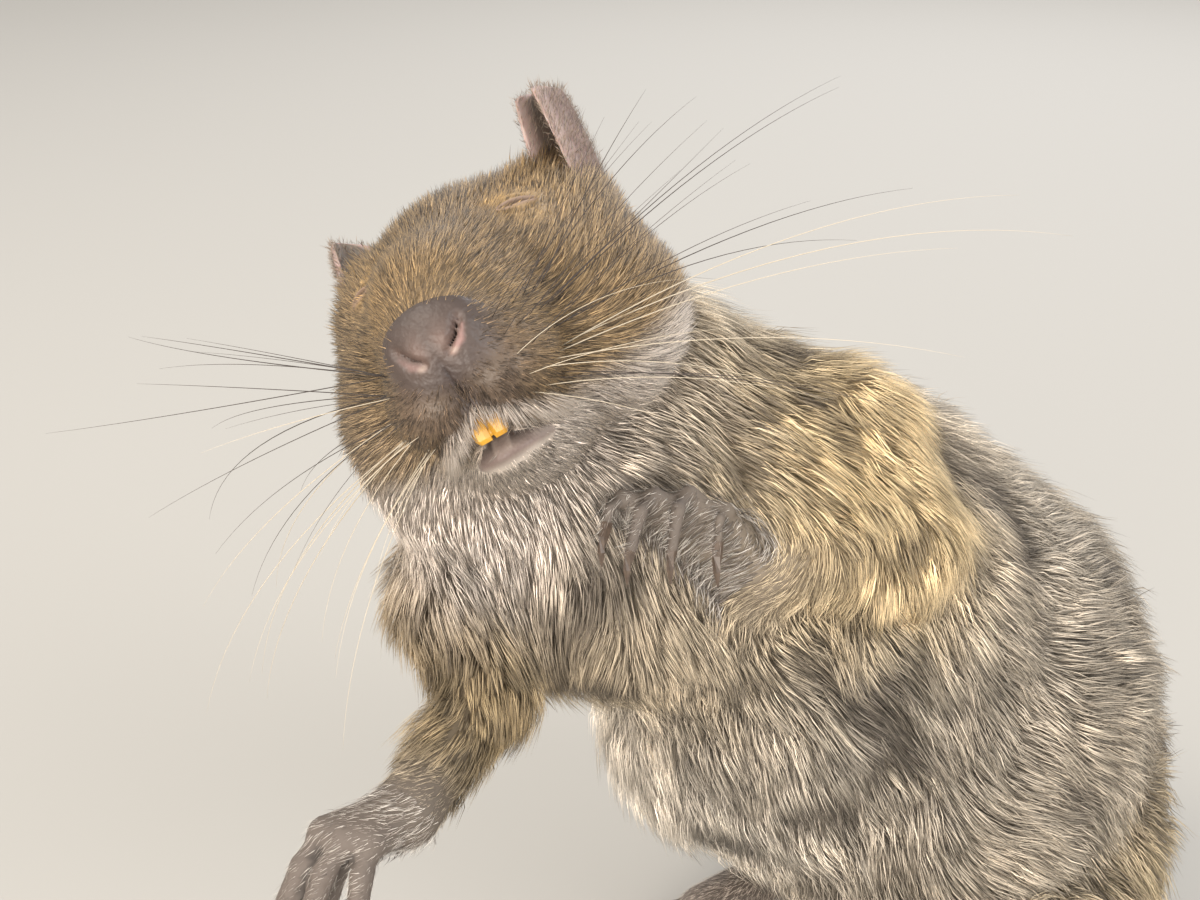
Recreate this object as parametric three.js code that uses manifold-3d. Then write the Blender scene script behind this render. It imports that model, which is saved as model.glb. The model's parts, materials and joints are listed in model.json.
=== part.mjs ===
// A degu (Octodon degus) at life size, sitting up on its hind feet, one hand laid forward, one reaching down.
// Millimetres, +Z up. The animal faces -Y and its left side is +X. The soles and the tail lie on z = 0.
// The outer surface of every flesh piece is the outline of the coat, out to the tips of the short fur.
//
// The body is a few round masses set along its bones and blended into each other. Each piece is a
// skin of rings around its own bone: every point of a ring is where a ray leaves the blended body.

import * as THREE from "three";
import Module from "manifold-3d";
import { mergeVertices } from "three/addons/utils/BufferGeometryUtils.js";

const wasm = await Module();
wasm.setup();

const at = (x, y, z) => new THREE.Vector3(x, y, z);
const SIDES = ["left", "right"];

// Driving dimensions
const SEAM = 0.3; // gap between neighbouring pieces
const FUR_FILLET = 5; // how softly one mass of the body runs into the next
const LIMB_REACH = 2.5; // how far a limb's piece may swell past its own mass into the fillet
const LONGEST_REACH = 60; // farther than any ray runs inside the body
const HEAD_REACH = 26; // farther than any ray runs inside the head, and so on for neck and palm
const NECK_REACH = 34;
const PALM_REACH = 9;
const SIDES_ROUND = { torso: 30, neck: 28, head: 36, palm: 12, sole: 12 }; // facets round each piece
const UPPER_ARM_DEPTH = 5; // how far the upper arm's piece reaches inwards from the shoulder

// The trunk: round masses from the rump up to the back of the head
const RUMP = { at: at(0, 40, 36), radius: 31 };
const BELLY = { at: at(0, 22, 58), radius: 34 };
const RIBS = { at: at(-1, 2, 80), radius: 28 };
const WITHERS = { at: at(-2, -16, 98), radius: 20.5 };
const NAPE = { at: at(-7, -24, 109), radius: 17 };
const OCCIPUT = { at: at(-12, -31, 118), radius: 13.5 };
const PAUNCH = { at: at(-6, -3, 62), radius: 21 };
const CHEST = { at: at(-3, -29, 94), radius: 17 };
const THROAT = { at: at(-7.4, -43, 106.5), radius: 11 };

// Arms: the left one is raised and laid forward, the right one reaches forward and down
const ARMS = {
  left: {
    outward: at(0.86, -0.2, 0.47).normalize(),
    shoulder: { at: at(8.8, -6.5, 105.6), radius: 11.5 },
    elbow: { at: at(18.1, -6.5, 98), radius: 8.6 },
    wrist: { at: at(15.3, -24.3, 99), radius: 4.7 },
    knuckles: { at: at(11, -33, 106.6), radius: 3 },
  },
  right: {
    outward: at(-0.3, -0.95, -0.05).normalize(),
    shoulder: { at: at(-8, -43.5, 92.5), radius: 11.2 },
    elbow: { at: at(-0.6, -47.2, 86.2), radius: 6.1 },
    wrist: { at: at(6.8, -63.5, 82.1), radius: 3.8 },
    knuckles: { at: at(7.5, -70, 82.2), radius: 3 },
  },
};
const PALM_RADIUS = 2.1; // round each knuckle, with its fur
const DIGIT_RADIUS = 1.45;
const HAND_CLAW = { length: 2.9, radius: 0.62 };
const CLAW_BEND = { root: 0.9, forward: 0.75, down: 0.55, middle: 0.5, middleDown: 0.06, taper: 0.86 };

// Digits of each hand as knuckle, middle joint and tip, in order across the hand
const DIGITS = {
  left: [
    [at(8.3, -36.8, 108.4), at(9, -39.2, 108.5), at(9.7, -40.5, 106.6)],
    [at(10.6, -34.7, 108.8), at(11.7, -37.6, 108.6), at(12.6, -39.6, 105.5)],
    [at(12.4, -31.6, 108.8), at(13.9, -34.6, 108.7), at(14.9, -36.2, 105.4)],
    [at(14.3, -28.4, 106.7), at(15.7, -30.6, 107), at(16.9, -31.9, 104.4)],
  ],
  right: [
    [at(5.5, -71.6, 82.9), at(6.2, -74.7, 81.2), at(6.4, -77.8, 76.6)],
    [at(7.7, -70.8, 83.3), at(8.5, -73.7, 81.4), at(9, -76.7, 76)],
    [at(9.3, -69, 83), at(10.9, -71.2, 81), at(11.9, -73, 76.2)],
    [at(5, -68.6, 80.4), at(5.1, -70.8, 77.4), at(5.2, -72.4, 73.8)],
  ],
};

// Hind legs, folded beside the belly, each foot flat on the floor
const HIP = { at: at(18, 38, 30), radius: 18 };
const KNEE = { at: at(29, 12, 31), radius: 11.5 };
const THIGH_INNER = 14; // the thighs keep this far from the middle of the body
const SHIN = { at: at(27, 20, 24), radius: 8 };
const HEEL = { at: at(24, 34, 8), radius: 5.4 };
const HEEL_PAD = { at: at(24, 35, 4.1), radius: 4.6 };
const BALL = { at: at(26.5, 11.5, 3.5), radius: 4.2 };
const TOE_RADIUS = 1.5;
const TOES = [
  { across: -3.9, reach: 7.5 },
  { across: -2.1, reach: 12 },
  { across: 0.2, reach: 13.2 },
  { across: 2.5, reach: 12 },
  { across: 4.2, reach: 6.5 },
];
const TOE_CLAW = { length: 3, radius: 0.7 };

// The tail leaves the rump, reaches the floor and lies round behind the animal to its right
const TAIL_PATH = new THREE.CatmullRomCurve3([
  at(0, 58, 23),
  at(-1, 68, 11.5),
  at(-6.5, 79, 4.2),
  at(-19, 87.5, 3.2),
  at(-38, 91, 2.7),
  at(-58, 87, 2.5),
  at(-75, 77.5, 2.9),
]);
const TAIL_ROOT_RADIUS = 4.6;
const TAIL_END_RADIUS = 2.6;
const TAIL_CUTS = [0, 0.36, 0.68, 1]; // shares of the path where its lengths begin and end

// The brush at the end of the tail
const BRUSH = { locks: 14, length: 23, core: 11, coreTaper: 0.55, lockWidth: 4, lockThickness: 1.3, seed: 5 };
const LOCK_TURN = 2.4; // radians round the tail from one lock to the next
const LOCK_LENGTHS = { least: 0.62, most: 1, endShare: 0.75 }; // shares of the brush's length
const LOCK_SPREAD = { least: 0.19, most: 0.35, start: 0.8, droop: 1.2, lowest: 0.9 };

// The head in its own frame: x to its left, y backwards from the nose tip, z towards the crown
const NOSE_TIP = at(8.8, -58.9, 130.5);
const HEAD_FORWARD = at(0.637, -0.73, 0.249).normalize();
const HEAD_UP = at(-0.543, -0.196, 0.816);
HEAD_UP.addScaledVector(HEAD_FORWARD, -HEAD_UP.dot(HEAD_FORWARD)).normalize();
const HEAD_LEFT = new THREE.Vector3().crossVectors(HEAD_UP, HEAD_FORWARD);
const HEAD_FRAME = new THREE.Matrix4()
  .makeBasis(HEAD_LEFT, HEAD_FORWARD.clone().negate(), HEAD_UP)
  .setPosition(NOSE_TIP);
const HEAD_FRAME_BACK = HEAD_FRAME.clone().invert();

// Masses of the head, in that frame: centre, half sizes, and how softly each runs into the rest
const HEAD_MASSES = [
  { centre: at(0, 25, 0.5), half: at(15.4, 15, 13.8), soft: 4 },
  { centre: at(9.5, 28, 4.5), half: at(7.5, 8, 7), soft: 5 },
  { centre: at(-9.5, 28, 4.5), half: at(7.5, 8, 7), soft: 5 },
  { centre: at(7.2, 22.5, -4.6), half: at(12.1, 12, 10.8), soft: 4 },
  { centre: at(-7.2, 22.5, -4.6), half: at(12.1, 12, 10.8), soft: 4 },
  { centre: at(0, 14, 4), half: at(7.6, 12, 6.6), soft: 4 },
  { centre: at(0, 9.8, -2.6), half: at(8.4, 9.8, 7.4), soft: 4 },
  { centre: at(0, 15, -10.5), half: at(7.5, 10, 6), soft: 3 },
  { centre: at(3.5, 5, -4.8), half: at(4.2, 4.8, 3.5), soft: 3 },
  { centre: at(-3.5, 5, -4.8), half: at(4.2, 4.8, 3.5), soft: 3 },
  { centre: at(0, 6.8, -11), half: at(3.9, 4.6, 2.4), soft: 1.2 },
  { centre: at(0, 2.2, 0.2), half: at(4.9, 3.2, 3.9), soft: 2.2 },
];
const EYE = { centre: at(7.3, 19.4, 6.1), radius: 3, lid: 1.35 };
const LID_SLIT = { length: 4.8, opening: 0.7 };
const LID_OUTWARD = at(0.54, -0.53, 0.65).normalize();
const LID_LENGTHWAYS = at(0.77, 0.61, -0.15);
LID_LENGTHWAYS.addScaledVector(LID_OUTWARD, -LID_LENGTHWAYS.dot(LID_OUTWARD)).normalize();
const NOSTRIL = { x: 2, z: 0.1, slant: 0.68, length: 2.9, width: 1, front: -2.1, depth: 3.4, spread: 0.7 };
const PHILTRUM = { top: -2.2, bottom: -8.6, width: 0.5, depth: 1.2 };
const MOUTH = { halfWidth: 6, front: 1, corner: 10.5, lipLine: -8.6, cornerLine: -9.8 };
const MOUTH_OPENING = { middle: 1.5, corner: 0.5 };
const INCISOR = { across: 0.93, width: 1.6, thickness: 1.4, root: at(0, 3.8, -4), tip: at(0, 1.9, -9.6) };
const INCISOR_RINGS = [0, 0.3, 0.6, 0.8, 0.93, 1]; // shares of a tooth's length
const INCISOR_CORNER = { inner: 0.9, outer: 0.45, starts: 0.7 }; // how round the chisel edge's corners are
const EAR = { height: 12.2, wall: 0.9, root: 2.2 };
// The left ear is folded lengthwise, the right one is open and laid back. Up is the way an ear stands,
// hollow the way its inside faces, and tip is where along the ear its rim starts to round over
const EAR_FOLD = {
  left: {
    base: at(13.4, 27.7, 7.4),
    up: at(0.08, 0.32, 0.96),
    hollow: at(-0.36, -0.93, 0.1),
    width: 3.9,
    cup: 10,
    tip: 0.88,
  },
  right: {
    base: at(12.2, 32.5, 8),
    up: at(0.16, 0.72, 0.96),
    hollow: at(-0.8, -0.6, 0.1),
    width: 7.8,
    cup: 4.4,
    tip: 0.45,
  },
};
const EAR_BULGE = { widest: 0.1, narrowing: 1.1 }; // how the leaf narrows to both ends
const EAR_SHALLOWER = 0.12; // share of the cup's depth that is missing at both ends
const EAR_TIP_END = 1.04; // where the rim's rounding would close, just over the tip
const EAR_SWEEP = 1.4; // how far the leaf curls to each side, in radians
const HEAD_FAN_CENTRE = at(0, 9.5, -3);
const HEAD_SEAM = { at: at(0, 29, -3), across: at(0, 0.774, -0.634) };
const SHOULDER_SEAM = { at: at(-4, -20, 103), across: at(0, 0.25, -0.97).normalize() };

// Coat and skin colours
const COLOURS = {
  coat: "#8a6b47",
  bareSkin: "#7c6763",
  paw: "#7b6f66",
  claw: "#3a3230",
  enamel: "#dd8f2b",
  eye: "#17120f",
  brush: "#2b241f",
};

// Distance to a round mass that tapers from one centre to another, negative inside
function beadField(p, from, to) {
  const along = to.at.clone().sub(from.at);
  const share = p.clone().sub(from.at).dot(along) / along.lengthSq();
  const t = THREE.MathUtils.clamp(share, 0, 1);
  const centre = from.at.clone().addScaledVector(along, t);
  return p.distanceTo(centre) - THREE.MathUtils.lerp(from.radius, to.radius, t);
}

// Distance to a ball, negative inside
function ballField(p, ball) {
  return p.distanceTo(ball.at) - ball.radius;
}

// Distance to an egg with three half sizes, close to true near its surface
function eggField(p, centre, half) {
  const q = p.clone().sub(centre).divide(half);
  const slope = q.clone().divide(half).length();
  const size = q.length();
  return slope < 1e-6 ? -Math.min(half.x, half.y, half.z) : (size * (size - 1)) / slope;
}

// The nearer of two masses, with the crease between them filled over the width soft
function blend(a, b, soft) {
  const h = Math.max(soft - Math.abs(a - b), 0) / soft;
  return Math.min(a, b) - (h * h * soft) / 4;
}

const mirrored = (v, side) => (side === "left" ? v.clone() : at(-v.x, v.y, v.z));
const mirroredBall = (ball, side) => ({ at: mirrored(ball.at, side), radius: ball.radius });

// The head alone, measured in its own frame
function headFieldLocal(q) {
  let d = eggField(q, HEAD_MASSES[0].centre, HEAD_MASSES[0].half);
  for (const mass of HEAD_MASSES.slice(1)) {
    d = blend(d, eggField(q, mass.centre, mass.half), mass.soft);
  }
  for (const side of SIDES) {
    const lid = { at: mirrored(EYE.centre, side), radius: EYE.radius + EYE.lid };
    d = blend(d, ballField(q, lid), 1.5);
  }
  return d;
}

const headField = (p) => headFieldLocal(p.clone().applyMatrix4(HEAD_FRAME_BACK));

// Trunk, neck and head with the masses of the shoulders and thighs that show through the coat
function trunkField(p) {
  let d = beadField(p, RUMP, BELLY);
  d = blend(d, beadField(p, BELLY, RIBS), FUR_FILLET);
  d = blend(d, beadField(p, RIBS, WITHERS), FUR_FILLET);
  d = blend(d, ballField(p, PAUNCH), 2 * FUR_FILLET);
  d = blend(d, ballField(p, CHEST), 2 * FUR_FILLET);
  d = blend(d, beadField(p, WITHERS, NAPE), FUR_FILLET);
  d = blend(d, beadField(p, NAPE, OCCIPUT), FUR_FILLET);
  d = blend(d, ballField(p, THROAT), 2 * FUR_FILLET);
  d = blend(d, headField(p), FUR_FILLET);
  for (const side of SIDES) {
    d = blend(d, ballField(p, ARMS[side].shoulder), FUR_FILLET);
    d = blend(d, beadField(p, mirroredBall(HIP, side), mirroredBall(KNEE, side)), FUR_FILLET);
  }
  return d;
}

const upperArmField = (p, arm) => blend(trunkField(p), beadField(p, arm.shoulder, arm.elbow), 4);

const forearmField = (p, arm) =>
  blend(beadField(p, arm.shoulder, arm.elbow), beadField(p, arm.elbow, arm.wrist), 3);

function shankField(p, side) {
  const knee = mirroredBall(KNEE, side);
  const shin = mirroredBall(SHIN, side);
  return blend(beadField(p, knee, shin), beadField(p, shin, mirroredBall(HEEL, side)), 4);
}

// How far a ray runs inside a body before it leaves it, at most the limit
function reach(field, from, direction, limit) {
  const smallestStep = 0.35;
  let inside = 0;
  let d = 0;
  while (d < limit) {
    const depth = -field(from.clone().addScaledVector(direction, d));
    if (depth <= 0) break;
    inside = d;
    d += Math.max(smallestStep, 0.8 * depth);
  }
  if (d >= limit && field(from.clone().addScaledVector(direction, limit)) < 0) return limit;
  let outside = Math.min(d, limit);
  for (let i = 0; i < 14; i++) {
    const middle = (inside + outside) / 2;
    if (field(from.clone().addScaledVector(direction, middle)) < 0) inside = middle;
    else outside = middle;
  }
  return outside;
}

// A station is the middle of one ring, the way its rays lean, and the plane across the bone.
function station(centre, forward, sideways, lean = 0) {
  const u = sideways.clone().addScaledVector(forward, -sideways.dot(forward)).normalize();
  const v = new THREE.Vector3().crossVectors(forward, u);
  return { centre, forward, u, v, lean };
}

function ray(place, angle) {
  return place.u
    .clone()
    .multiplyScalar(Math.cos(angle) * Math.cos(place.lean))
    .addScaledVector(place.v, Math.sin(angle) * Math.cos(place.lean))
    .addScaledVector(place.forward, Math.sin(place.lean));
}

// Rings whose rays fan out from one centre, so that they close in a round end
function fan(centre, forward, sideways, count, fromLean, toLean) {
  const places = [];
  for (let i = 0; i < count; i++) {
    const lean = THREE.MathUtils.lerp(fromLean, toLean, i / count);
    places.push(station(centre, forward, sideways, lean));
  }
  return places;
}

// Rings along a straight bone, their planes turning evenly from the first to the last
function along(from, to, firstForward, lastForward, sideways, count) {
  const places = [];
  for (let i = 0; i <= count; i++) {
    const t = i / count;
    const forward = firstForward.clone().lerp(lastForward, t).normalize();
    places.push(station(from.clone().lerp(to, t), forward, sideways));
  }
  return places;
}

// A closed skin over rings of points. A ring whose points coincide closes as a tip.
function skinOver(rings) {
  const sides = rings[0].length;
  const points = rings.flat();
  const faces = [];
  for (let r = 0; r + 1 < rings.length; r++) {
    for (let s = 0; s < sides; s++) {
      const a = r * sides + s;
      const b = r * sides + ((s + 1) % sides);
      faces.push(a, b, a + sides, b, b + sides, a + sides);
    }
  }
  for (const [first, turned] of [[0, true], [(rings.length - 1) * sides, false]]) {
    const middle = points.length;
    const rim = points.slice(first, first + sides);
    const sum = rim.reduce((total, point) => total.add(point), at(0, 0, 0));
    points.push(sum.divideScalar(sides));
    for (let s = 0; s < sides; s++) {
      const a = first + s;
      const b = first + ((s + 1) % sides);
      if (turned) faces.push(middle, b, a);
      else faces.push(middle, a, b);
    }
  }
  return closedGeometry(points, faces);
}

// Merges coinciding points, drops collapsed faces and turns the faces outwards
function closedGeometry(points, faces) {
  const rough = new THREE.BufferGeometry().setFromPoints(points);
  rough.setIndex(faces);
  const merged = mergeVertices(rough, 1e-3);
  const index = merged.index.array;
  const kept = [];
  for (let i = 0; i < index.length; i += 3) {
    const [a, b, c] = [index[i], index[i + 1], index[i + 2]];
    if (a !== b && b !== c && c !== a) kept.push(a, b, c);
  }
  merged.setIndex(kept);
  if (volumeOf(merged) < 0) merged.setIndex(kept.reverse());
  return merged;
}

function volumeOf(geometry) {
  const place = geometry.attributes.position;
  const [a, b, c] = [at(0, 0, 0), at(0, 0, 0), at(0, 0, 0)];
  let six = 0;
  for (let i = 0; i < geometry.index.count; i += 3) {
    a.fromBufferAttribute(place, geometry.index.getX(i));
    b.fromBufferAttribute(place, geometry.index.getX(i + 1));
    c.fromBufferAttribute(place, geometry.index.getX(i + 2));
    six += a.dot(b.cross(c));
  }
  return six / 6;
}

function solidOf(geometry) {
  return new wasm.Manifold(
    new wasm.Mesh({
      numProp: 3,
      vertProperties: new Float32Array(geometry.attributes.position.array),
      triVerts: new Uint32Array(geometry.index.array),
    }),
  );
}

function geometryOf(solid) {
  const mesh = solid.getMesh();
  const geometry = new THREE.BufferGeometry();
  geometry.setAttribute("position", new THREE.BufferAttribute(mesh.vertProperties, 3));
  geometry.setIndex(new THREE.BufferAttribute(mesh.triVerts, 1));
  return geometry;
}

const largest = (solid) => solid.decompose().reduce((a, b) => (a.volume() > b.volume() ? a : b));
const cutBy = (solid, rooms) => largest(rooms.reduce((left, room) => left.subtract(room), solid));
const joined = (solids) => solids.reduce((all, one) => all.add(one));

// The skin of a body along its stations, or grown by the seam as the room it needs
function shell(field, places, sides, limit, grow = 0) {
  const grown = (p) => field(p) - grow;
  const rings = places.map((place, i) => {
    const longest = (typeof limit === "function" ? limit(i / (places.length - 1)) : limit) + grow;
    const ring = [];
    for (let s = 0; s < sides; s++) {
      const direction = ray(place, (2 * Math.PI * s) / sides);
      const far = reach(grown, place.centre, direction, longest);
      ring.push(place.centre.clone().addScaledVector(direction, far));
    }
    return ring;
  });
  return solidOf(skinOver(rings));
}

const CAP_RINGS = 4;

// Stations of a limb's length whose two ends are round
function limbPlaces(from, to, count) {
  const forward = to.at.clone().sub(from.at).normalize();
  const sideways = Math.abs(forward.x) < 0.8 ? at(1, 0, 0) : at(0, 0, 1);
  return [
    ...fan(from.at, forward, sideways, CAP_RINGS, -Math.PI / 2, 0),
    ...along(from.at, to.at, forward, forward, sideways, count),
    ...fan(to.at, forward, sideways, CAP_RINGS, 0, Math.PI / 2).slice(1),
    station(to.at, forward, sideways, Math.PI / 2),
  ];
}

// A limb's free length, as the piece and as the room cut for it
function limb(field, from, to, sides, count) {
  const places = limbPlaces(from, to, count);
  const limit = (t) => THREE.MathUtils.lerp(from.radius, to.radius, t) + LIMB_REACH;
  return {
    piece: shell(field, places, sides, limit),
    room: shell(field, places, sides, limit, SEAM),
  };
}

// A wall round two neighbouring balls that runs along one direction, from a depth inwards to well outside
function wall(from, to, outward, depth, grow) {
  const u = to.at.clone().sub(from.at);
  u.addScaledVector(outward, -u.dot(outward));
  const length = u.length();
  u.normalize();
  const v = new THREE.Vector3().crossVectors(outward, u);
  const halfTurn = 9;
  const ring = (lift) => {
    const points = [];
    for (const [ball, start, shift] of [[to, -0.5, length], [from, 0.5, 0]]) {
      for (let i = 0; i <= halfTurn; i++) {
        const angle = (start + i / halfTurn) * Math.PI;
        const radius = ball.radius + LIMB_REACH + grow;
        const point = from.at.clone().addScaledVector(outward, lift);
        point.addScaledVector(u, shift + radius * Math.cos(angle));
        points.push(point.addScaledVector(v, radius * Math.sin(angle)));
      }
    }
    return points;
  };
  return solidOf(skinOver([ring(-depth - grow), ring(LONGEST_REACH)]));
}

// A limb's first length, which keeps the skin of the trunk over it out to a wall round the limb
function rootedLimb(field, from, to, outward, depth, sides, count) {
  const places = limbPlaces(from, to, count);
  const [piece, room] = [0, SEAM].map((grow) =>
    shell(field, places, sides, LONGEST_REACH, grow).intersect(wall(from, to, outward, depth, grow)),
  );
  return { piece, room };
}

// A round tube along a curve whose radius follows the share of its length, with flat ends
function tube(curve, radiusAt, count, sides, from = 0, to = 1) {
  const rings = [];
  for (let i = 0; i <= count; i++) {
    const t = THREE.MathUtils.lerp(from, to, i / count);
    const forward = curve.getTangentAt(t);
    const place = station(curve.getPointAt(t), forward, at(0.12, 0.3, 1));
    const ring = [];
    for (let s = 0; s < sides; s++) {
      const direction = ray(place, (2 * Math.PI * s) / sides);
      ring.push(place.centre.clone().addScaledVector(direction, radiusAt(t)));
    }
    rings.push(ring);
  }
  return rings;
}

// Presses the underside of rings flat where they would pass the floor
function onFloor(rings) {
  for (const ring of rings) {
    for (const point of ring) point.z = Math.max(point.z, 0);
  }
  return rings;
}

const roundEnd = (t, start, end) =>
  Math.sqrt(Math.max(0, 1 - Math.pow(Math.max(0, (t - start) / (end - start)), 2)));

const animal = new THREE.Group();

function add(name, geometry, colour, roughness = 0.9) {
  const material = new THREE.MeshStandardMaterial({ color: colour, roughness, metalness: 0 });
  const mesh = new THREE.Mesh(geometry, material);
  mesh.name = name;
  animal.add(mesh);
}

// Claws: a curved cone that starts just inside the tip of its digit
function claw(tip, direction, droop, size, grow = 0) {
  const root = tip.clone().addScaledVector(direction, -CLAW_BEND.root);
  const end = tip.clone().addScaledVector(direction, size.length * CLAW_BEND.forward);
  end.addScaledVector(droop, size.length * CLAW_BEND.down);
  const middle = tip.clone().addScaledVector(direction, size.length * CLAW_BEND.middle);
  middle.addScaledVector(droop, size.length * CLAW_BEND.middleDown);
  const curve = new THREE.CatmullRomCurve3([root, middle, end]);
  const radiusAt = (t) => (size.radius + grow) * (1 - CLAW_BEND.taper * t * t);
  return solidOf(skinOver(tube(curve, radiusAt, 3, 5)));
}

// Digits: three joints in one soft tube that ends round
function digit(joints, radius) {
  const curve = new THREE.CatmullRomCurve3(joints);
  const radiusAt = (t) => radius * (1 - 0.16 * t) * roundEnd(t, 0.84, 1.012);
  return tube(curve, radiusAt, 5, 6);
}

// Head: skin, then the openings of eyes, nostrils, mouth and the seats of ears and teeth
const inHead = (v) => v.clone().applyMatrix4(HEAD_FRAME);
const turnedToHead = (v) => v.clone().transformDirection(HEAD_FRAME);

// A closed block between two like outlines given in the head's frame
function block(lower, upper) {
  return solidOf(skinOver([lower.map(inHead), upper.map(inHead)]));
}

function headSkin(grow = 0) {
  const back = turnedToHead(at(0, 1, 0));
  const seamAcross = turnedToHead(HEAD_SEAM.across);
  const sideways = HEAD_LEFT;
  const seamAt = inHead(HEAD_SEAM.at).addScaledVector(seamAcross, -SEAM / 2);
  const places = [
    ...fan(inHead(HEAD_FAN_CENTRE), back, sideways, 12, -Math.PI / 2, 0),
    ...along(inHead(HEAD_FAN_CENTRE), seamAt, back, seamAcross, sideways, 9),
  ];
  return shell(trunkField, places, SIDES_ROUND.head, HEAD_REACH, grow);
}

function eyeball(side, grow = 0) {
  const ball = new THREE.SphereGeometry(EYE.radius + grow, 12, 8);
  ball.deleteAttribute("uv");
  ball.deleteAttribute("normal");
  const merged = mergeVertices(ball, 1e-3);
  const centre = inHead(mirrored(EYE.centre, side));
  merged.translate(centre.x, centre.y, centre.z);
  const points = [];
  for (let i = 0; i < merged.attributes.position.count; i++) {
    points.push(at(0, 0, 0).fromBufferAttribute(merged.attributes.position, i));
  }
  return closedGeometry(points, Array.from(merged.index.array));
}

// The narrow slit between the lids, cut outwards from the middle of the eyeball
function lidSlit(side) {
  const across = new THREE.Vector3().crossVectors(LID_OUTWARD, LID_LENGTHWAYS);
  const outline = (out) => {
    const ring = [];
    for (let s = 0; s < 12; s++) {
      const angle = (2 * Math.PI * s) / 12;
      const point = EYE.centre.clone().addScaledVector(LID_OUTWARD, out);
      point.addScaledVector(LID_LENGTHWAYS, (Math.cos(angle) * LID_SLIT.length) / 2);
      point.addScaledVector(across, (Math.sin(angle) * LID_SLIT.opening) / 2);
      ring.push(mirrored(point, side));
    }
    return ring;
  };
  return block(outline(0.5), outline(EYE.radius + 5));
}

// A nostril: a slanting oval hollow that narrows as it runs in and slightly outwards
function nostril(side) {
  const rings = [];
  const steps = 5;
  for (let i = 0; i <= steps; i++) {
    const t = i / steps;
    const size = Math.sqrt(1 - 0.9 * t * t) * (1 - 0.25 * t);
    const ring = [];
    for (let s = 0; s < 10; s++) {
      const angle = (2 * Math.PI * s) / 10;
      const long = (NOSTRIL.length / 2) * size * Math.cos(angle);
      const wide = (NOSTRIL.width / 2) * size * Math.sin(angle);
      const x = NOSTRIL.x + long * Math.cos(NOSTRIL.slant) - wide * Math.sin(NOSTRIL.slant);
      const z = NOSTRIL.z + long * Math.sin(NOSTRIL.slant) + wide * Math.cos(NOSTRIL.slant);
      ring.push(mirrored(at(x + NOSTRIL.spread * t, NOSTRIL.front + NOSTRIL.depth * t, z), side));
    }
    rings.push(ring.map(inHead));
  }
  return solidOf(skinOver(rings));
}

// The cleft from the nose down to the lip
function philtrum() {
  const outline = (z) => {
    const half = PHILTRUM.width / 2;
    const front = -3;
    const groove = z > -5 ? PHILTRUM.depth - 0.9 : PHILTRUM.depth + 1.2;
    return [at(-half, front, z), at(half, front, z), at(half, groove - 0.3, z), at(0, groove, z),
      at(-half, groove - 0.3, z)];
  };
  return block(outline(PHILTRUM.bottom), outline(PHILTRUM.top));
}

// The mouth: a curved slit round the front of the jaw, widest in the middle
function mouthSlit() {
  const rings = [];
  const steps = 16;
  for (let i = 0; i <= steps; i++) {
    const turn = THREE.MathUtils.lerp(-0.5, 0.5, i / steps) * Math.PI;
    const middle = Math.cos(turn);
    const z = THREE.MathUtils.lerp(MOUTH.cornerLine, MOUTH.lipLine, middle * middle);
    const open = THREE.MathUtils.lerp(MOUTH_OPENING.corner, MOUTH_OPENING.middle, middle ** 3);
    const edge = (share, lift) => {
      const x = MOUTH.halfWidth * share * Math.sin(turn);
      const y = MOUTH.corner - (MOUTH.corner - MOUTH.front) * share * middle;
      return at(x, y, z + lift);
    };
    const ring = [edge(0.45, -0.1), edge(1.5, -open / 2), edge(1.5, open / 2), edge(0.45, 0.1)];
    rings.push(ring.map(inHead));
  }
  return solidOf(skinOver(rings));
}

// An upper incisor: a bar that bends back a little towards its chisel edge, whose outer corner is round
function incisor(side, grow = 0) {
  const bow = 0.5;
  const edgeDepth = 0.45;
  const roundness = 1.25;
  const last = INCISOR_RINGS.length - 1;
  const rings = INCISOR_RINGS.map((t, i) => {
    const centre = INCISOR.root.clone().lerp(INCISOR.tip, t);
    centre.y -= bow * Math.sin(Math.PI * t);
    if (i === 0) centre.z += grow;
    if (i === last) centre.z -= grow;
    const corner = roundEnd(t, INCISOR_CORNER.starts, 1);
    const inner = (INCISOR.width / 2) * THREE.MathUtils.lerp(INCISOR_CORNER.inner, 1, corner) + grow;
    const outer = (INCISOR.width / 2) * THREE.MathUtils.lerp(INCISOR_CORNER.outer, 1, corner) + grow;
    const halfDepth = (INCISOR.thickness / 2) * THREE.MathUtils.lerp(edgeDepth, 1, corner) + grow;
    const ring = [];
    for (let s = 0; s < 8; s++) {
      const angle = (2 * Math.PI * (s + 0.5)) / 8;
      const across = THREE.MathUtils.clamp(roundness * Math.cos(angle), -1, 1);
      const x = INCISOR.across + across * (across > 0 ? outer : inner);
      const y = centre.y + halfDepth * THREE.MathUtils.clamp(roundness * Math.sin(angle), -1, 1);
      ring.push(mirrored(at(x, y, centre.z), side));
    }
    return ring.map(inHead);
  });
  return solidOf(skinOver(rings));
}

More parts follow.
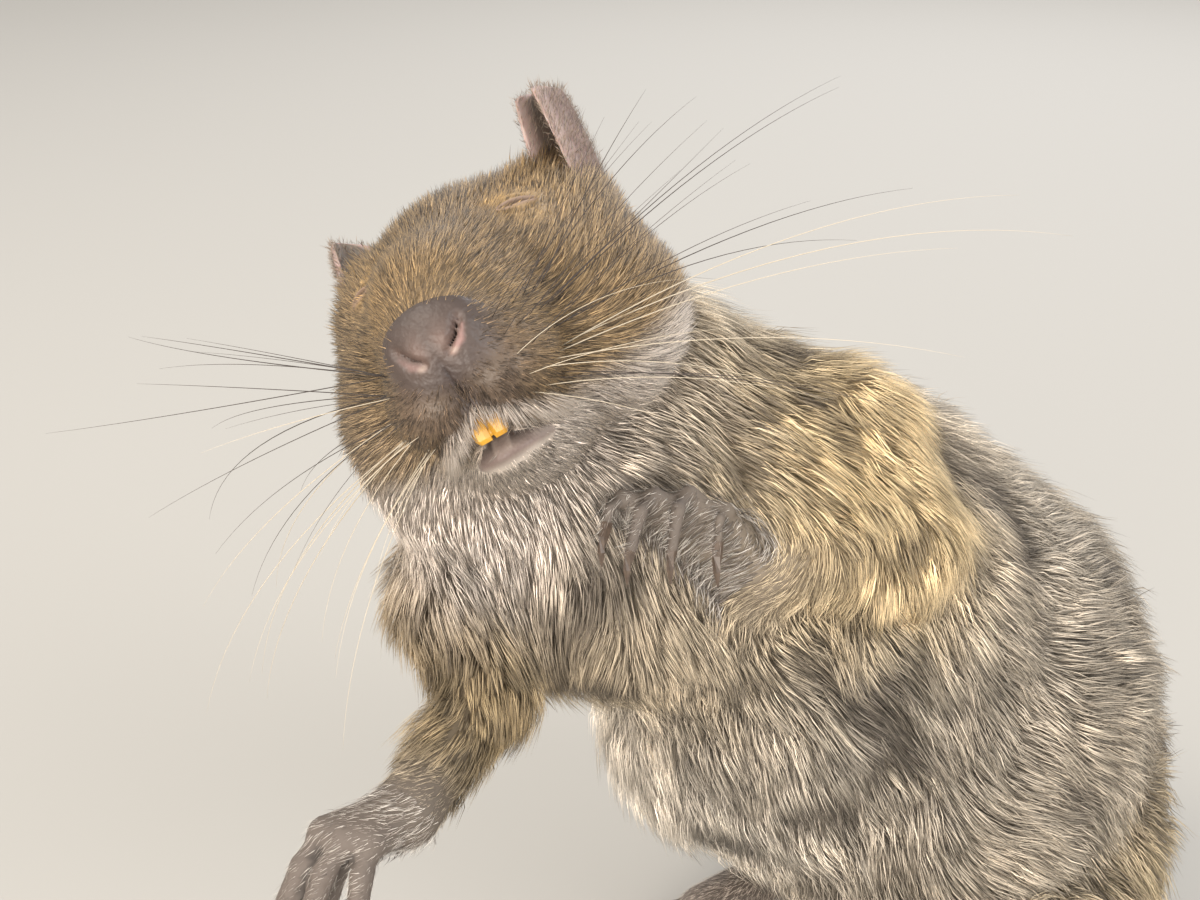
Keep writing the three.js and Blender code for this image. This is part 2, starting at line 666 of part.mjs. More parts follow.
// An ear: a thin cupped leaf, rolled so that its hollow faces inwards and forward
function ear(side, grow = 0) {
  const fold = EAR_FOLD[side];
  const up = fold.up.clone().normalize();
  const hollow = fold.hollow.clone();
  hollow.addScaledVector(up, -hollow.dot(up)).normalize();
  const across = new THREE.Vector3().crossVectors(up, hollow);
  const rings = [];
  const steps = 7;
  const arcSteps = 6;
  const sweep = EAR_SWEEP + grow / fold.cup;
  for (let i = 0; i <= steps; i++) {
    const t = i / steps;
    const rise = THREE.MathUtils.lerp(-EAR.root - grow, EAR.height + grow, t);
    const bulge = Math.sqrt(1 - EAR_BULGE.narrowing * Math.pow(t - EAR_BULGE.widest, 2));
    const half = (fold.width / 2) * bulge;
    const turnLimit = sweep * roundEnd(t, fold.tip, EAR_TIP_END);
    const deep = fold.cup * (1 - EAR_SHALLOWER * (1 - Math.sin(Math.PI * t)));
    const thick = EAR.wall * (1 - 0.35 * t) + 2 * grow;
    const arc = (offset, backwards) => {
      const points = [];
      for (let s = 0; s <= arcSteps; s++) {
        const turn = THREE.MathUtils.lerp(-turnLimit, turnLimit, s / arcSteps) * (backwards ? -1 : 1);
        const point = fold.base.clone().addScaledVector(up, rise);
        point.addScaledVector(across, Math.sin(turn) * (half + offset));
        point.addScaledVector(hollow, -Math.cos(turn) * (deep + offset) + deep / 2);
        points.push(mirrored(point, side));
      }
      return points;
    };
    rings.push([...arc(thick / 2, false), ...arc(-thick / 2, true)].map(inHead));
  }
  return solidOf(skinOverLeaf(rings));
}

// Closes the two ends of a curved leaf with strips between its outer and inner arcs
function skinOverLeaf(rings) {
  const sides = rings[0].length;
  const points = rings.flat();
  const faces = [];
  for (let r = 0; r + 1 < rings.length; r++) {
    for (let s = 0; s < sides; s++) {
      const a = r * sides + s;
      const b = r * sides + ((s + 1) % sides);
      faces.push(a, b, a + sides, b, b + sides, a + sides);
    }
  }
  for (const [first, turned] of [[0, true], [(rings.length - 1) * sides, false]]) {
    for (let s = 0; s + 1 < sides / 2; s++) {
      const a = first + s;
      const b = first + s + 1;
      const c = first + sides - 1 - s;
      const d = first + sides - 2 - s;
      if (turned) faces.push(a, c, b, b, c, d);
      else faces.push(a, b, c, b, d, c);
    }
  }
  return closedGeometry(points, faces);
}

// Neck, from the seam behind the ears and jaw to the seam over the shoulders
function neckSkin() {
  const headAcross = turnedToHead(HEAD_SEAM.across);
  const from = inHead(HEAD_SEAM.at).addScaledVector(headAcross, SEAM / 2);
  const to = SHOULDER_SEAM.at.clone().addScaledVector(SHOULDER_SEAM.across, -SEAM / 2);
  const places = along(from, to, headAcross, SHOULDER_SEAM.across, at(1, 0, 0), 5);
  return shell(trunkField, places, SIDES_ROUND.neck, NECK_REACH);
}

// Torso, from the shoulders down the bent back to the round rump
function torsoSkin() {
  const down = RUMP.at.clone().sub(BELLY.at).normalize();
  const from = SHOULDER_SEAM.at.clone().addScaledVector(SHOULDER_SEAM.across, SEAM / 2);
  const middle = SHOULDER_SEAM.across.clone().lerp(down, 0.6).normalize();
  const sideways = at(1, 0, 0);
  const places = [
    ...along(from, RIBS.at, SHOULDER_SEAM.across, middle, sideways, 5),
    ...along(RIBS.at, BELLY.at, middle, down, sideways, 4).slice(1),
    ...along(BELLY.at, RUMP.at, down, down, sideways, 4).slice(1),
    ...fan(RUMP.at, down, sideways, 6, 0, Math.PI / 2).slice(1),
    station(RUMP.at, down, sideways, Math.PI / 2),
  ];
  return shell(trunkField, places, SIDES_ROUND.torso, LONGEST_REACH);
}

// A hand: the palm blended over its four knuckles, the digits sunk into it
function hand(side, grow = 0) {
  const arm = ARMS[side];
  const bones = DIGITS[side].map(([knuckle]) => ({ at: knuckle, radius: PALM_RADIUS }));
  const root = { at: arm.wrist.at, radius: arm.wrist.radius * 0.8 };
  const palm = (p) => bones.map((bone) => beadField(p, root, bone)).reduce((a, b) => blend(a, b, 1.8));
  const forward = arm.knuckles.at.clone().sub(arm.wrist.at).normalize();
  const sideways = bones[0].at.clone().sub(bones[3].at);
  const places = [
    ...fan(arm.wrist.at, forward, sideways, 3, -Math.PI / 2, 0),
    ...along(arm.wrist.at, arm.knuckles.at, forward, forward, sideways, 4),
    ...fan(arm.knuckles.at, forward, sideways, 4, 0, Math.PI / 2).slice(1),
    station(arm.knuckles.at, forward, sideways, Math.PI / 2),
  ];
  const digits = DIGITS[side].map((joints) => solidOf(skinOver(digit(joints, DIGIT_RADIUS + grow))));
  return joined([shell(palm, places, SIDES_ROUND.palm, PALM_REACH, grow), ...digits]);
}

const digitWay = (joints) => joints[2].clone().sub(joints[1]).normalize();

// A foot: heel pad and ball with the toes sunk into it, pressed flat on the floor
function footSole(side) {
  const heel = mirroredBall(HEEL_PAD, side);
  const ball = mirroredBall(BALL, side);
  const forward = ball.at.clone().sub(heel.at).normalize();
  const places = [
    ...fan(heel.at, forward, at(1, 0, 0), 4, -Math.PI / 2, 0),
    ...along(heel.at, ball.at, forward, forward, at(1, 0, 0), 4),
    ...fan(ball.at, forward, at(1, 0, 0), 4, 0, Math.PI / 2).slice(1),
    station(ball.at, forward, at(1, 0, 0), Math.PI / 2),
  ];
  const rings = places.map((place) => {
    const ring = [];
    for (let s = 0; s < SIDES_ROUND.sole; s++) {
      const direction = ray(place, (2 * Math.PI * s) / SIDES_ROUND.sole);
      const far = reach((p) => beadField(p, heel, ball), place.centre, direction, 9);
      ring.push(place.centre.clone().addScaledVector(direction, far));
    }
    return ring;
  });
  return onFloor(rings);
}

function toeJoints(side, toe) {
  const forward = at(0.06, -1, 0);
  const base = BALL.at.clone().add(at(toe.across * 0.75, -0.5, -1));
  const middle = base.clone().addScaledVector(forward, toe.reach * 0.5).add(at(toe.across * 0.2, 0, 0.3));
  const tip = base.clone().addScaledVector(forward, toe.reach).add(at(toe.across * 0.35, 0, -1.5));
  return [base, middle, tip].map((joint) => mirrored(joint, side));
}

// The tail's lengths, the first with its round start inside the rump
const tailRadius = (t) => THREE.MathUtils.lerp(TAIL_ROOT_RADIUS, TAIL_END_RADIUS, Math.min(1, t * 1.3));

function tailLength(index, grow = 0) {
  const halfSeam = SEAM / 2 / TAIL_PATH.getLength();
  const last = TAIL_CUTS.length - 2;
  const from = TAIL_CUTS[index] + (index === 0 ? 0 : halfSeam);
  const to = TAIL_CUTS[index + 1] - (index === last ? 0 : halfSeam);
  const rings = tube(TAIL_PATH, (t) => tailRadius(t) + grow, 6, 12, from, to);
  return solidOf(skinOver(grow > 0 ? rings : onFloor(rings)));
}

// The brush: flat tapered locks that leave the end of the tail all round and lie backwards
function brush() {
  let seed = BRUSH.seed;
  const draw = () => {
    seed = (seed * 16807) % 2147483647;
    return seed / 2147483647;
  };
  const end = TAIL_PATH.getPointAt(1);
  const forward = TAIL_PATH.getTangentAt(1).setZ(0).normalize();
  const start = end.clone().addScaledVector(forward, SEAM);
  const sideways = at(-forward.y, forward.x, 0);
  const upward = at(0, 0, 1);
  const coreRings = [];
  for (let i = 0; i <= 5; i++) {
    const t = i / 5;
    const radius = tailRadius(1) * (1 - BRUSH.coreTaper * t);
    const ring = [];
    for (let s = 0; s < 10; s++) {
      const angle = (2 * Math.PI * s) / 10;
      const point = start.clone().addScaledVector(forward, BRUSH.core * t);
      point.addScaledVector(sideways, radius * Math.cos(angle));
      point.z += radius * Math.sin(angle);
      ring.push(point);
    }
    coreRings.push(ring);
  }
  const pieces = [solidOf(skinOver(onFloor(coreRings)))];
  for (let k = 0; k < BRUSH.locks; k++) {
    const share = k / BRUSH.locks;
    const around = k * LOCK_TURN;
    const startAlong = SEAM + BRUSH.core * 0.9 * share;
    const outward = sideways.clone().multiplyScalar(Math.cos(around));
    outward.addScaledVector(upward, Math.abs(Math.sin(around)) * 0.85 + 0.05);
    const across = new THREE.Vector3().crossVectors(forward, outward).normalize();
    const lengthShare = THREE.MathUtils.lerp(LOCK_LENGTHS.least, LOCK_LENGTHS.most, draw());
    const length = BRUSH.length * lengthShare * THREE.MathUtils.lerp(1, LOCK_LENGTHS.endShare, share);
    const spread = THREE.MathUtils.lerp(LOCK_SPREAD.least, LOCK_SPREAD.most, draw());
    const rings = [];
    for (let i = 0; i <= 3; i++) {
      const t = i / 3;
      const centre = start.clone().addScaledVector(forward, startAlong + length * t);
      centre.addScaledVector(outward, LOCK_SPREAD.start + spread * length * Math.sin(1.3 * t));
      centre.z = Math.max(centre.z - LOCK_SPREAD.droop * t * t, LOCK_SPREAD.lowest);
      const wide = (BRUSH.lockWidth / 2) * Math.sin(Math.PI * Math.min(1, 0.3 + 0.72 * t)) + 0.12;
      const thick = (BRUSH.lockThickness / 2) * (1 - 0.75 * t);
      rings.push([
        centre.clone().addScaledVector(across, wide),
        centre.clone().addScaledVector(outward, thick),
        centre.clone().addScaledVector(across, -wide),
        centre.clone().addScaledVector(outward, -thick),
      ]);
    }
    pieces.push(solidOf(skinOver(onFloor(rings))));
  }
  return largest(joined(pieces));
}

// Arms and legs, each length cut clear of the one before it
const limbs = {};
for (const side of SIDES) {
  const arm = ARMS[side];
  limbs[side] = {
    upperArm: rootedLimb(
      (p) => upperArmField(p, arm), arm.shoulder, arm.elbow, arm.outward, UPPER_ARM_DEPTH, 20, 2,
    ),
    forearm: limb((p) => forearmField(p, arm), arm.elbow, arm.wrist, 14, 5),
    thigh: rootedLimb(
      trunkField, mirroredBall(HIP, side), mirroredBall(KNEE, side), mirrored(at(1, 0, 0), side),
      HIP.at.x - THIGH_INNER, 22, 4,
    ),
    shank: limb((p) => shankField(p, side), mirroredBall(SHIN, side), mirroredBall(HEEL, side), 14, 5),
  };
}

const headRoom = headSkin(SEAM);
const furred = [];
for (const side of SIDES) {
  const parts = limbs[side];
  const clawRooms = DIGITS[side].map((joints) =>
    claw(joints[2], digitWay(joints), at(0.1, 0.1, -1), HAND_CLAW, SEAM),
  );
  furred.push([`upper_arm_${side}`, parts.upperArm.piece, [headRoom]]);
  furred.push([`forearm_${side}`, parts.forearm.piece, [parts.upperArm.room]]);
  furred.push([`thigh_${side}`, parts.thigh.piece, []]);
  furred.push([`shank_${side}`, parts.shank.piece, [parts.thigh.room]]);
  add(`hand_${side}`, geometryOf(cutBy(hand(side), [parts.forearm.room, ...clawRooms])), COLOURS.paw);
  DIGITS[side].forEach((joints, i) => {
    const piece = claw(joints[2], digitWay(joints), at(0.1, 0.1, -1), HAND_CLAW);
    add(`claw_hand_${side}_${i + 1}`, geometryOf(piece), COLOURS.claw, 0.45);
  });
  const toes = TOES.map((toe) => toeJoints(side, toe));
  const toeDroop = at(0, 0, -0.55);
  const foot = joined([
    solidOf(skinOver(footSole(side))),
    ...toes.map((joints) => solidOf(skinOver(onFloor(digit(joints, TOE_RADIUS))))),
  ]);
  const toeRooms = toes.map((joints) => claw(joints[2], at(0, -1, 0.1), toeDroop, TOE_CLAW, SEAM));
  add(`foot_${side}`, geometryOf(cutBy(foot, [parts.shank.room, ...toeRooms])), COLOURS.paw);
  toes.forEach((joints, i) => {
    const piece = claw(joints[2], at(0, -1, 0.1), toeDroop, TOE_CLAW);
    add(`claw_foot_${side}_${i + 1}`, geometryOf(piece), COLOURS.claw, 0.45);
  });
}
for (const [name, piece, rooms] of furred) {
  add(name, geometryOf(cutBy(piece, rooms)), COLOURS.coat);
}

const limbRooms = SIDES.flatMap((side) => [
  ...Object.values(limbs[side]).map((part) => part.room),
  hand(side, SEAM),
]);
const headRooms = SIDES.flatMap((side) => [
  solidOf(eyeball(side, SEAM)),
  lidSlit(side),
  nostril(side),
  incisor(side, SEAM / 2),
  ear(side, SEAM),
]);
add("head", geometryOf(cutBy(headSkin(), [...headRooms, philtrum(), mouthSlit()])), COLOURS.coat);
add("neck", geometryOf(cutBy(neckSkin(), limbRooms)), COLOURS.coat);
add("torso", geometryOf(cutBy(torsoSkin(), [...limbRooms, tailLength(0, SEAM)])), COLOURS.coat);
for (const side of SIDES) {
  add(`eye_${side}`, eyeball(side), COLOURS.eye, 0.15);
  add(`incisor_${side}`, geometryOf(incisor(side)), COLOURS.enamel, 0.35);
  add(`ear_${side}`, geometryOf(ear(side)), COLOURS.bareSkin, 0.7);
}
["tail_root", "tail_middle", "tail_tip"].forEach((name, i) => {
  add(name, geometryOf(tailLength(i)), COLOURS.coat);
});
add("tail_brush", geometryOf(brush()), COLOURS.brush);

// The origin is on the floor, under the middle of the whole animal
const box = new THREE.Box3().setFromObject(animal);
animal.position.set(-(box.min.x + box.max.x) / 2, -(box.min.y + box.max.y) / 2, 0);

const degu = new THREE.Group();
degu.name = "degu";
degu.add(animal);

export default degu;
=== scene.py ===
# %% [markdown]
# # A degu, sitting up
# A degu is a small golden-brown rodent with round ears, long whiskers and a black brush on its tail. This
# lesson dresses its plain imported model: one skin in place of the solids, a coat of hair over it, ears, a
# moist nose, lids and whiskers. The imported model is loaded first, because every piece is placed by it.

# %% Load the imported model
import json
import bpy
import numpy as np
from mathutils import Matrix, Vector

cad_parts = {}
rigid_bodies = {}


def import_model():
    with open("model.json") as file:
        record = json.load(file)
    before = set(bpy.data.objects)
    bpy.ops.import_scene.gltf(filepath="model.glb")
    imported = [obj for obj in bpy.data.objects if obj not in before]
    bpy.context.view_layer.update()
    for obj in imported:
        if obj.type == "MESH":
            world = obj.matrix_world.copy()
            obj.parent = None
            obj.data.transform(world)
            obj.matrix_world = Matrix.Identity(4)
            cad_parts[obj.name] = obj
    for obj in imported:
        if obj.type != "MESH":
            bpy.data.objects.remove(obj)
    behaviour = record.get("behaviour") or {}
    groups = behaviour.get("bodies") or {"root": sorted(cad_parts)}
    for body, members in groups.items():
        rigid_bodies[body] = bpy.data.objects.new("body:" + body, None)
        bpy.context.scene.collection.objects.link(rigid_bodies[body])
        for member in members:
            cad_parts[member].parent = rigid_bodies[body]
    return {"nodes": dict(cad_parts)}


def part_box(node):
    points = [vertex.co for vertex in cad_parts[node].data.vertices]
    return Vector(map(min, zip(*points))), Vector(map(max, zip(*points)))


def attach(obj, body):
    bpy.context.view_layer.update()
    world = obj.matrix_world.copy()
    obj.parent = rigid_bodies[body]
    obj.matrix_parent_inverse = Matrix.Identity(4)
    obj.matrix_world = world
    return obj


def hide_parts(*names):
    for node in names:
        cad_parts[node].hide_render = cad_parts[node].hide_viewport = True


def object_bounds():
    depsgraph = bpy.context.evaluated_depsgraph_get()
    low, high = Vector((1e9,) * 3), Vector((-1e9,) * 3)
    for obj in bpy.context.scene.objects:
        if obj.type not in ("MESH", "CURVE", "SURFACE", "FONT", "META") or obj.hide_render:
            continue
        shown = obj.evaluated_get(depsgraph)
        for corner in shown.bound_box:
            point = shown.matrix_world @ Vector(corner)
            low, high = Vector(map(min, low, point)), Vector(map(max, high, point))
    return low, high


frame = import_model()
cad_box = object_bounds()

print("nodes:", len(frame["nodes"]), "box:", [[round(float(v), 4) for v in corner] for corner in cad_box])

# %% [markdown]
# ## Measures of the animal
# The body is round masses on bones: a ball or a tapering bead for each, in millimetres, with the animal
# facing -Y and its left side at +X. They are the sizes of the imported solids, so the skin can be worked out
# inside them. The head has a frame of its own at the nose tip, because it is tilted: x to its left, y
# backwards, z to its crown.

# %% Body measures
MM = 0.001


def at(x, y, z):
    return np.array([x, y, z], float)


def straight(v):
    """One vector, made 1 long."""
    return v / np.linalg.norm(v)


RUMP, RUMP_R = at(0, 40, 36), 31
BELLY, BELLY_R = at(0, 22, 58), 34
RIBS, RIBS_R = at(-1, 2, 80), 28
WITHERS, WITHERS_R = at(-2, -16, 98), 20.5
NAPE, NAPE_R = at(-7, -24, 109), 17
OCCIPUT, OCCIPUT_R = at(-12, -31, 118), 13.5
PAUNCH, PAUNCH_R = at(-6, -3, 62), 21
CHEST, CHEST_R = at(-3, -29, 94), 17
THROAT, THROAT_R = at(-7.4, -43, 106.5), 11
# An arm's joints have a place and a radius. Each finger is given by three places.
ARMS = {
    "left": {
        "shoulder": (at(8.8, -6.5, 105.6), 11.5), "elbow": (at(18.1, -6.5, 98), 8.6),
        "wrist": (at(15.3, -24.3, 99), 4.7), "knuckles": at(11, -33, 106.6),
        "digits": [
            [at(8.3, -36.8, 108.4), at(9, -39.2, 108.5), at(9.7, -40.5, 106.6)],
            [at(10.6, -34.7, 108.8), at(11.7, -37.6, 108.6), at(12.6, -39.6, 105.5)],
            [at(12.4, -31.6, 108.8), at(13.9, -34.6, 108.7), at(14.9, -36.2, 105.4)],
            [at(14.3, -28.4, 106.7), at(15.7, -30.6, 107), at(16.9, -31.9, 104.4)],
        ],
    },
    "right": {
        "shoulder": (at(-8, -43.5, 92.5), 11.2), "elbow": (at(-0.6, -47.2, 86.2), 6.1),
        "wrist": (at(6.8, -63.5, 82.1), 3.8), "knuckles": at(7.5, -70, 82.2),
        "digits": [
            [at(5.5, -71.6, 82.9), at(6.2, -74.7, 81.2), at(6.4, -77.8, 76.6)],
            [at(7.7, -70.8, 83.3), at(8.5, -73.7, 81.4), at(9, -76.7, 76)],
            [at(9.3, -69, 83), at(10.9, -71.2, 81), at(11.9, -73, 76.2)],
            [at(5, -68.6, 80.4), at(5.1, -70.8, 77.4), at(5.2, -72.4, 73.8)],
        ],
    },
}
PALM_R, DIGIT_R = 2.1, 1.45
HIP, HIP_R = at(18, 38, 30), 18
KNEE, KNEE_R = at(29, 12, 31), 11.5
SHIN, SHIN_R = at(27, 20, 24), 8
HEEL, HEEL_R = at(24, 34, 8), 5.4
HEEL_PAD, HEEL_PAD_R = at(24, 35, 4.1), 4.6
BALL, BALL_R = at(26.5, 11.5, 3.5), 4.2
# Each toe has its place across the foot and its reach.
TOES = [(-3.9, 7.5), (-2.1, 12), (0.2, 13.2), (2.5, 12), (4.2, 6.5)]
TOE_R = 1.5
TAIL = np.array([
    (0, 58, 23), (-1, 68, 11.5), (-6.5, 79, 4.2), (-19, 87.5, 3.2), (-38, 91, 2.7), (-58, 87, 2.5),
    (-75, 77.5, 2.9),
], float)
TAIL_ROOT_R, TAIL_END_R = 4.6, 2.6

NOSE_TIP = at(8.8, -58.9, 130.5)
HEAD_FORWARD = straight(at(0.637, -0.73, 0.249))
HEAD_UP = at(-0.543, -0.196, 0.816)
HEAD_UP = straight(HEAD_UP - (HEAD_UP @ HEAD_FORWARD) * HEAD_FORWARD)
HEAD_TURN = np.stack([np.cross(HEAD_UP, HEAD_FORWARD), -HEAD_FORWARD, HEAD_UP])
# Each mass has its middle, its half sizes and the width of its blend with those before it.
HEAD_MASSES = [
    (at(0, 25, 0.5), at(15.4, 15, 13.8), 4), (at(9.5, 28, 4.5), at(7.5, 8, 7), 5),
    (at(-9.5, 28, 4.5), at(7.5, 8, 7), 5), (at(7.2, 22.5, -4.6), at(12.1, 12, 10.8), 4),
    (at(-7.2, 22.5, -4.6), at(12.1, 12, 10.8), 4), (at(0, 14, 4), at(7.6, 12, 6.6), 4),
    (at(0, 9.8, -2.6), at(8.4, 9.8, 7.4), 4), (at(0, 15, -10.5), at(7.5, 10, 6), 3),
    (at(3.5, 5, -4.8), at(4.2, 4.8, 3.5), 3), (at(-3.5, 5, -4.8), at(4.2, 4.8, 3.5), 3),
    (at(0, 6.8, -11), at(3.9, 4.6, 2.4), 1.2), (at(0, 2.2, 0.2), at(4.9, 3.2, 3.9), 2.2),
]
EYE, EYE_R, LID = at(7.3, 19.4, 6.1), 3, 1.35


def in_head(q):
    """Points of the head's frame as points of the body's frame: turned, then moved to the nose tip."""
    return q @ HEAD_TURN + NOSE_TIP


def to_head(p):
    """Points of the body's frame in the head's own frame."""
    return (p - NOSE_TIP) @ HEAD_TURN.T


def mirrored(p, side):
    return p * (1 if side == "left" else at(-1, 1, 1))


eye_low, eye_high = (np.array(corner, float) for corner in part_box("eye_left"))
SHIFT = (eye_low + eye_high) / 2 - in_head(EYE) * MM
print("own frame to packed frame, mm:", np.round(SHIFT / MM, 2))

# %% [markdown]
# ## The body as a distance
# A field gives each point its distance from the body's surface, negative inside. Distances to simple masses
# are easy, and two of them blend into one soft form by filling the crease between them. This is the way
# that suits flesh: limbs branch and hands have fingers, so no single two-parameter grid could wrap the
# whole animal.

# %% Fields of simple masses
def size_of(v):
    """Lengths of rows."""
    return np.sqrt(np.einsum("ij,ij->i", v, v))


def bead(p, a, ra, b, rb):
    """Distance to a round mass that tapers from a to b: the distance to its bone less the radius there."""
    bone = b - a
    t = np.clip((p - a) @ bone / (bone @ bone), 0, 1)
    return size_of(p - a - t[:, None] * bone) - (ra + t * (rb - ra))


def ball(p, centre, radius):
    return size_of(p - centre) - radius


def egg(q, centre, half):
    """Distance to an egg of three half sizes, near its surface: size times (size - 1) over the slope."""
    r = (q - centre) / half
    size, slope = size_of(r), size_of(r / half)
    return size * (size - 1) / np.maximum(slope, 1e-6)


def blend(a, b, soft):
    """The nearer of two masses, with the crease between them filled over the width soft."""
    h = np.maximum(soft - np.abs(a - b), 0) / soft
    return np.minimum(a, b) - h * h * soft / 4


def nearby(p, centre, size, field, margin=9):
    """A field worked out only near its own ball, with the distance to that ball farther off, to save time."""
    out = size_of(p - centre) - size
    close = out < margin
    if close.any():
        out[close] = field(p[close])
    return out


# %% [markdown]
# The parts of the body are kept apart as columns of one table, because the coat changes from part to part:
# the nearest part gives the hair its length and its direction. The same columns, blended in order, give the
# whole body.

# %% Parts of the body
def head_field(q):
    d = egg(q, *HEAD_MASSES[0][:2])
    for centre, half, soft in HEAD_MASSES[1:]:
        d = blend(d, egg(q, centre, half), soft)
    for side in ("left", "right"):
        d = blend(d, ball(q, mirrored(EYE, side), EYE_R + LID), 1.5)
    return d


def hand_field(p, arm):
    wrist, wrist_r = arm["wrist"]
    palm = None
    for knuckle, _, _ in arm["digits"]:
        one = bead(p, wrist, wrist_r * 0.8, knuckle, PALM_R)
        palm = one if palm is None else blend(palm, one, 1.8)
    for knuckle, middle, tip in arm["digits"]:
        palm = blend(palm, bead(p, knuckle, DIGIT_R, middle, DIGIT_R * 0.95), 0.7)
        palm = blend(palm, bead(p, middle, DIGIT_R * 0.95, tip, DIGIT_R * 0.86), 0.4)
    return palm


def toe_joints(across, reach):
    base = BALL + at(across * 0.75, -0.5, -1)
    middle = base + at(0.06, -1, 0) * reach * 0.5 + at(across * 0.2, 0, 0.3)
    return base, middle, base + at(0.06, -1, 0) * reach + at(across * 0.35, 0, -1.5)


def foot_field(p, side):
    d = bead(p, mirrored(HEEL_PAD, side), HEEL_PAD_R, mirrored(BALL, side), BALL_R)
    for across, reach in TOES:
        base, middle, tip = (mirrored(joint, side) for joint in toe_joints(across, reach))
        d = blend(d, bead(p, base, TOE_R, middle, TOE_R * 0.95), 1.2)
        d = blend(d, bead(p, middle, TOE_R * 0.95, tip, TOE_R * 0.86), 0.5)
    return d


def along_curve(knots, t):
    """Points of a smooth curve through knots, at shares t of its knots (a Catmull-Rom curve)."""
    n = len(knots) - 1
    padded = np.vstack([2 * knots[0] - knots[1], knots, 2 * knots[-1] - knots[-2]])
    i = np.minimum((t * n).astype(int), n - 1)
    u = (t * n - i)[:, None]
    a, b, c, d = padded[i], padded[i + 1], padded[i + 2], padded[i + 3]
    return 0.5 * (2 * b + (c - a) * u + (2 * a - 5 * b + 4 * c - d) * u**2 + (3 * b - a - 3 * c + d) * u**3)


TAIL_STEPS = 26
tail_points = along_curve(TAIL, np.linspace(0, 1, TAIL_STEPS))
tail_run = np.concatenate([[0], np.cumsum(size_of(np.diff(tail_points, axis=0)))])


def tail_radius(t):
    return TAIL_ROOT_R + (TAIL_END_R - TAIL_ROOT_R) * np.minimum(1, 1.3 * t)


tail_radii = tail_radius(tail_run / tail_run[-1])


def tail_field(p):
    d = np.full(len(p), 1e3)
    for i in range(TAIL_STEPS - 1):
        a, b = tail_points[i], tail_points[i + 1]
        one = nearby(p, (a + b) / 2, 6, lambda q: bead(q, a, tail_radii[i], b, tail_radii[i + 1]), 4)
        d = np.minimum(d, one)
    return d


PARTS = (
    "head neck throat chest ribs belly rump upper_left upper_right fore_left fore_right hand_left hand_right "
    "thigh_left thigh_right shank_left shank_right foot_left foot_right tail"
).split()
# Width in mm over which each part blends with those before it.
SOFT = dict(neck=5, throat=10, chest=10, ribs=5, belly=8, rump=5, upper=4, fore=2, hand=1.6, thigh=5, shank=3,
            foot=2, tail=4)


def part_fields(p):
    """A column for each part: its distance from every point."""
    d = {"head": nearby(p, in_head(at(0, 18, -3)), 24, lambda q: head_field(to_head(q)), 12)}
    low_neck, high_neck = bead(p, WITHERS, WITHERS_R, NAPE, NAPE_R), bead(p, NAPE, NAPE_R, OCCIPUT, OCCIPUT_R)
    d["neck"] = np.minimum(low_neck, high_neck)
    d["throat"] = ball(p, THROAT, THROAT_R)
    d["chest"] = ball(p, CHEST, CHEST_R)
    d["ribs"] = bead(p, RIBS, RIBS_R, WITHERS, WITHERS_R)
    d["belly"] = blend(bead(p, BELLY, BELLY_R, RIBS, RIBS_R), ball(p, PAUNCH, PAUNCH_R), 10)
    d["rump"] = bead(p, RUMP, RUMP_R, BELLY, BELLY_R)
    for side, arm in ARMS.items():
        shoulder, elbow, wrist = arm["shoulder"], arm["elbow"], arm["wrist"]
        d[f"upper_{side}"] = bead(p, *shoulder, *elbow)
        d[f"fore_{side}"] = bead(p, *elbow, *wrist)
        d[f"hand_{side}"] = nearby(p, arm["knuckles"], 13, lambda q: hand_field(q, arm), 6)
        hip, knee, shin, heel = (mirrored(v, side) for v in (HIP, KNEE, SHIN, HEEL))
        d[f"thigh_{side}"] = bead(p, hip, HIP_R, knee, KNEE_R)
        calf, hock = bead(p, knee, KNEE_R, shin, SHIN_R), bead(p, shin, SHIN_R, heel, HEEL_R)
        d[f"shank_{side}"] = blend(calf, hock, 4)
        d[f"foot_{side}"] = nearby(p, mirrored(at(25.5, 19, 4), side), 26, lambda q: foot_field(q, side), 6)
    d["tail"] = nearby(p, at(-33, 78, 8), 48, tail_field, 8)
    return np.stack([d[name] for name in PARTS], 1)


def whole(columns):
    """The body in one: the columns blended in order, each with the softness of its own joint."""
    d = columns[:, 0]
    for i, name in enumerate(PARTS[1:], 1):
        d = blend(d, columns[:, i], SOFT[name.split("_")[0]])
    return d


# %% [markdown]
# ## How the coat changes over the body
# The hair is shortest on the nose, the hands and the feet, and longest on the flanks and the rump. One row
# of the table below says it for each part: how far the skin lies under the tips, how long, wide and raised
# the hairs are, and how many stand on a square millimetre. A point takes its values from the parts near it,
# by weight, so nothing jumps at a joint.

# %% The coat's table
#            depth length width  lift density (mm, mm, mm, degrees, hairs per square mm)
COAT = {
    "head": (1.3, 3.7, 0.125, 21, 17.5), "neck": (2.6, 7.5, 0.12, 22, 9.5),
    "throat": (2.4, 7.0, 0.095, 24, 13.0), "chest": (3.0, 8.5, 0.12, 26, 9.5),
    "ribs": (3.4, 9.0, 0.135, 20, 7.0), "belly": (3.6, 10.5, 0.135, 21, 6.4),
    "rump": (3.8, 10.5, 0.155, 20, 4.8), "tail": (0.8, 3.2, 0.11, 22, 9.0),
    "upper": (2.8, 8.0, 0.12, 27, 12.0), "fore": (1.3, 5.6, 0.1, 20, 14.0),
    "hand": (0.15, 1.4, 0.07, 15, 3.6), "thigh": (3.2, 9.0, 0.15, 20, 5.6),
    "shank": (1.6, 5.0, 0.12, 20, 7.0), "foot": (0.3, 2.0, 0.085, 16, 8.0),
}
coat_rows = np.array([COAT[name.split("_")[0]] for name in PARTS])


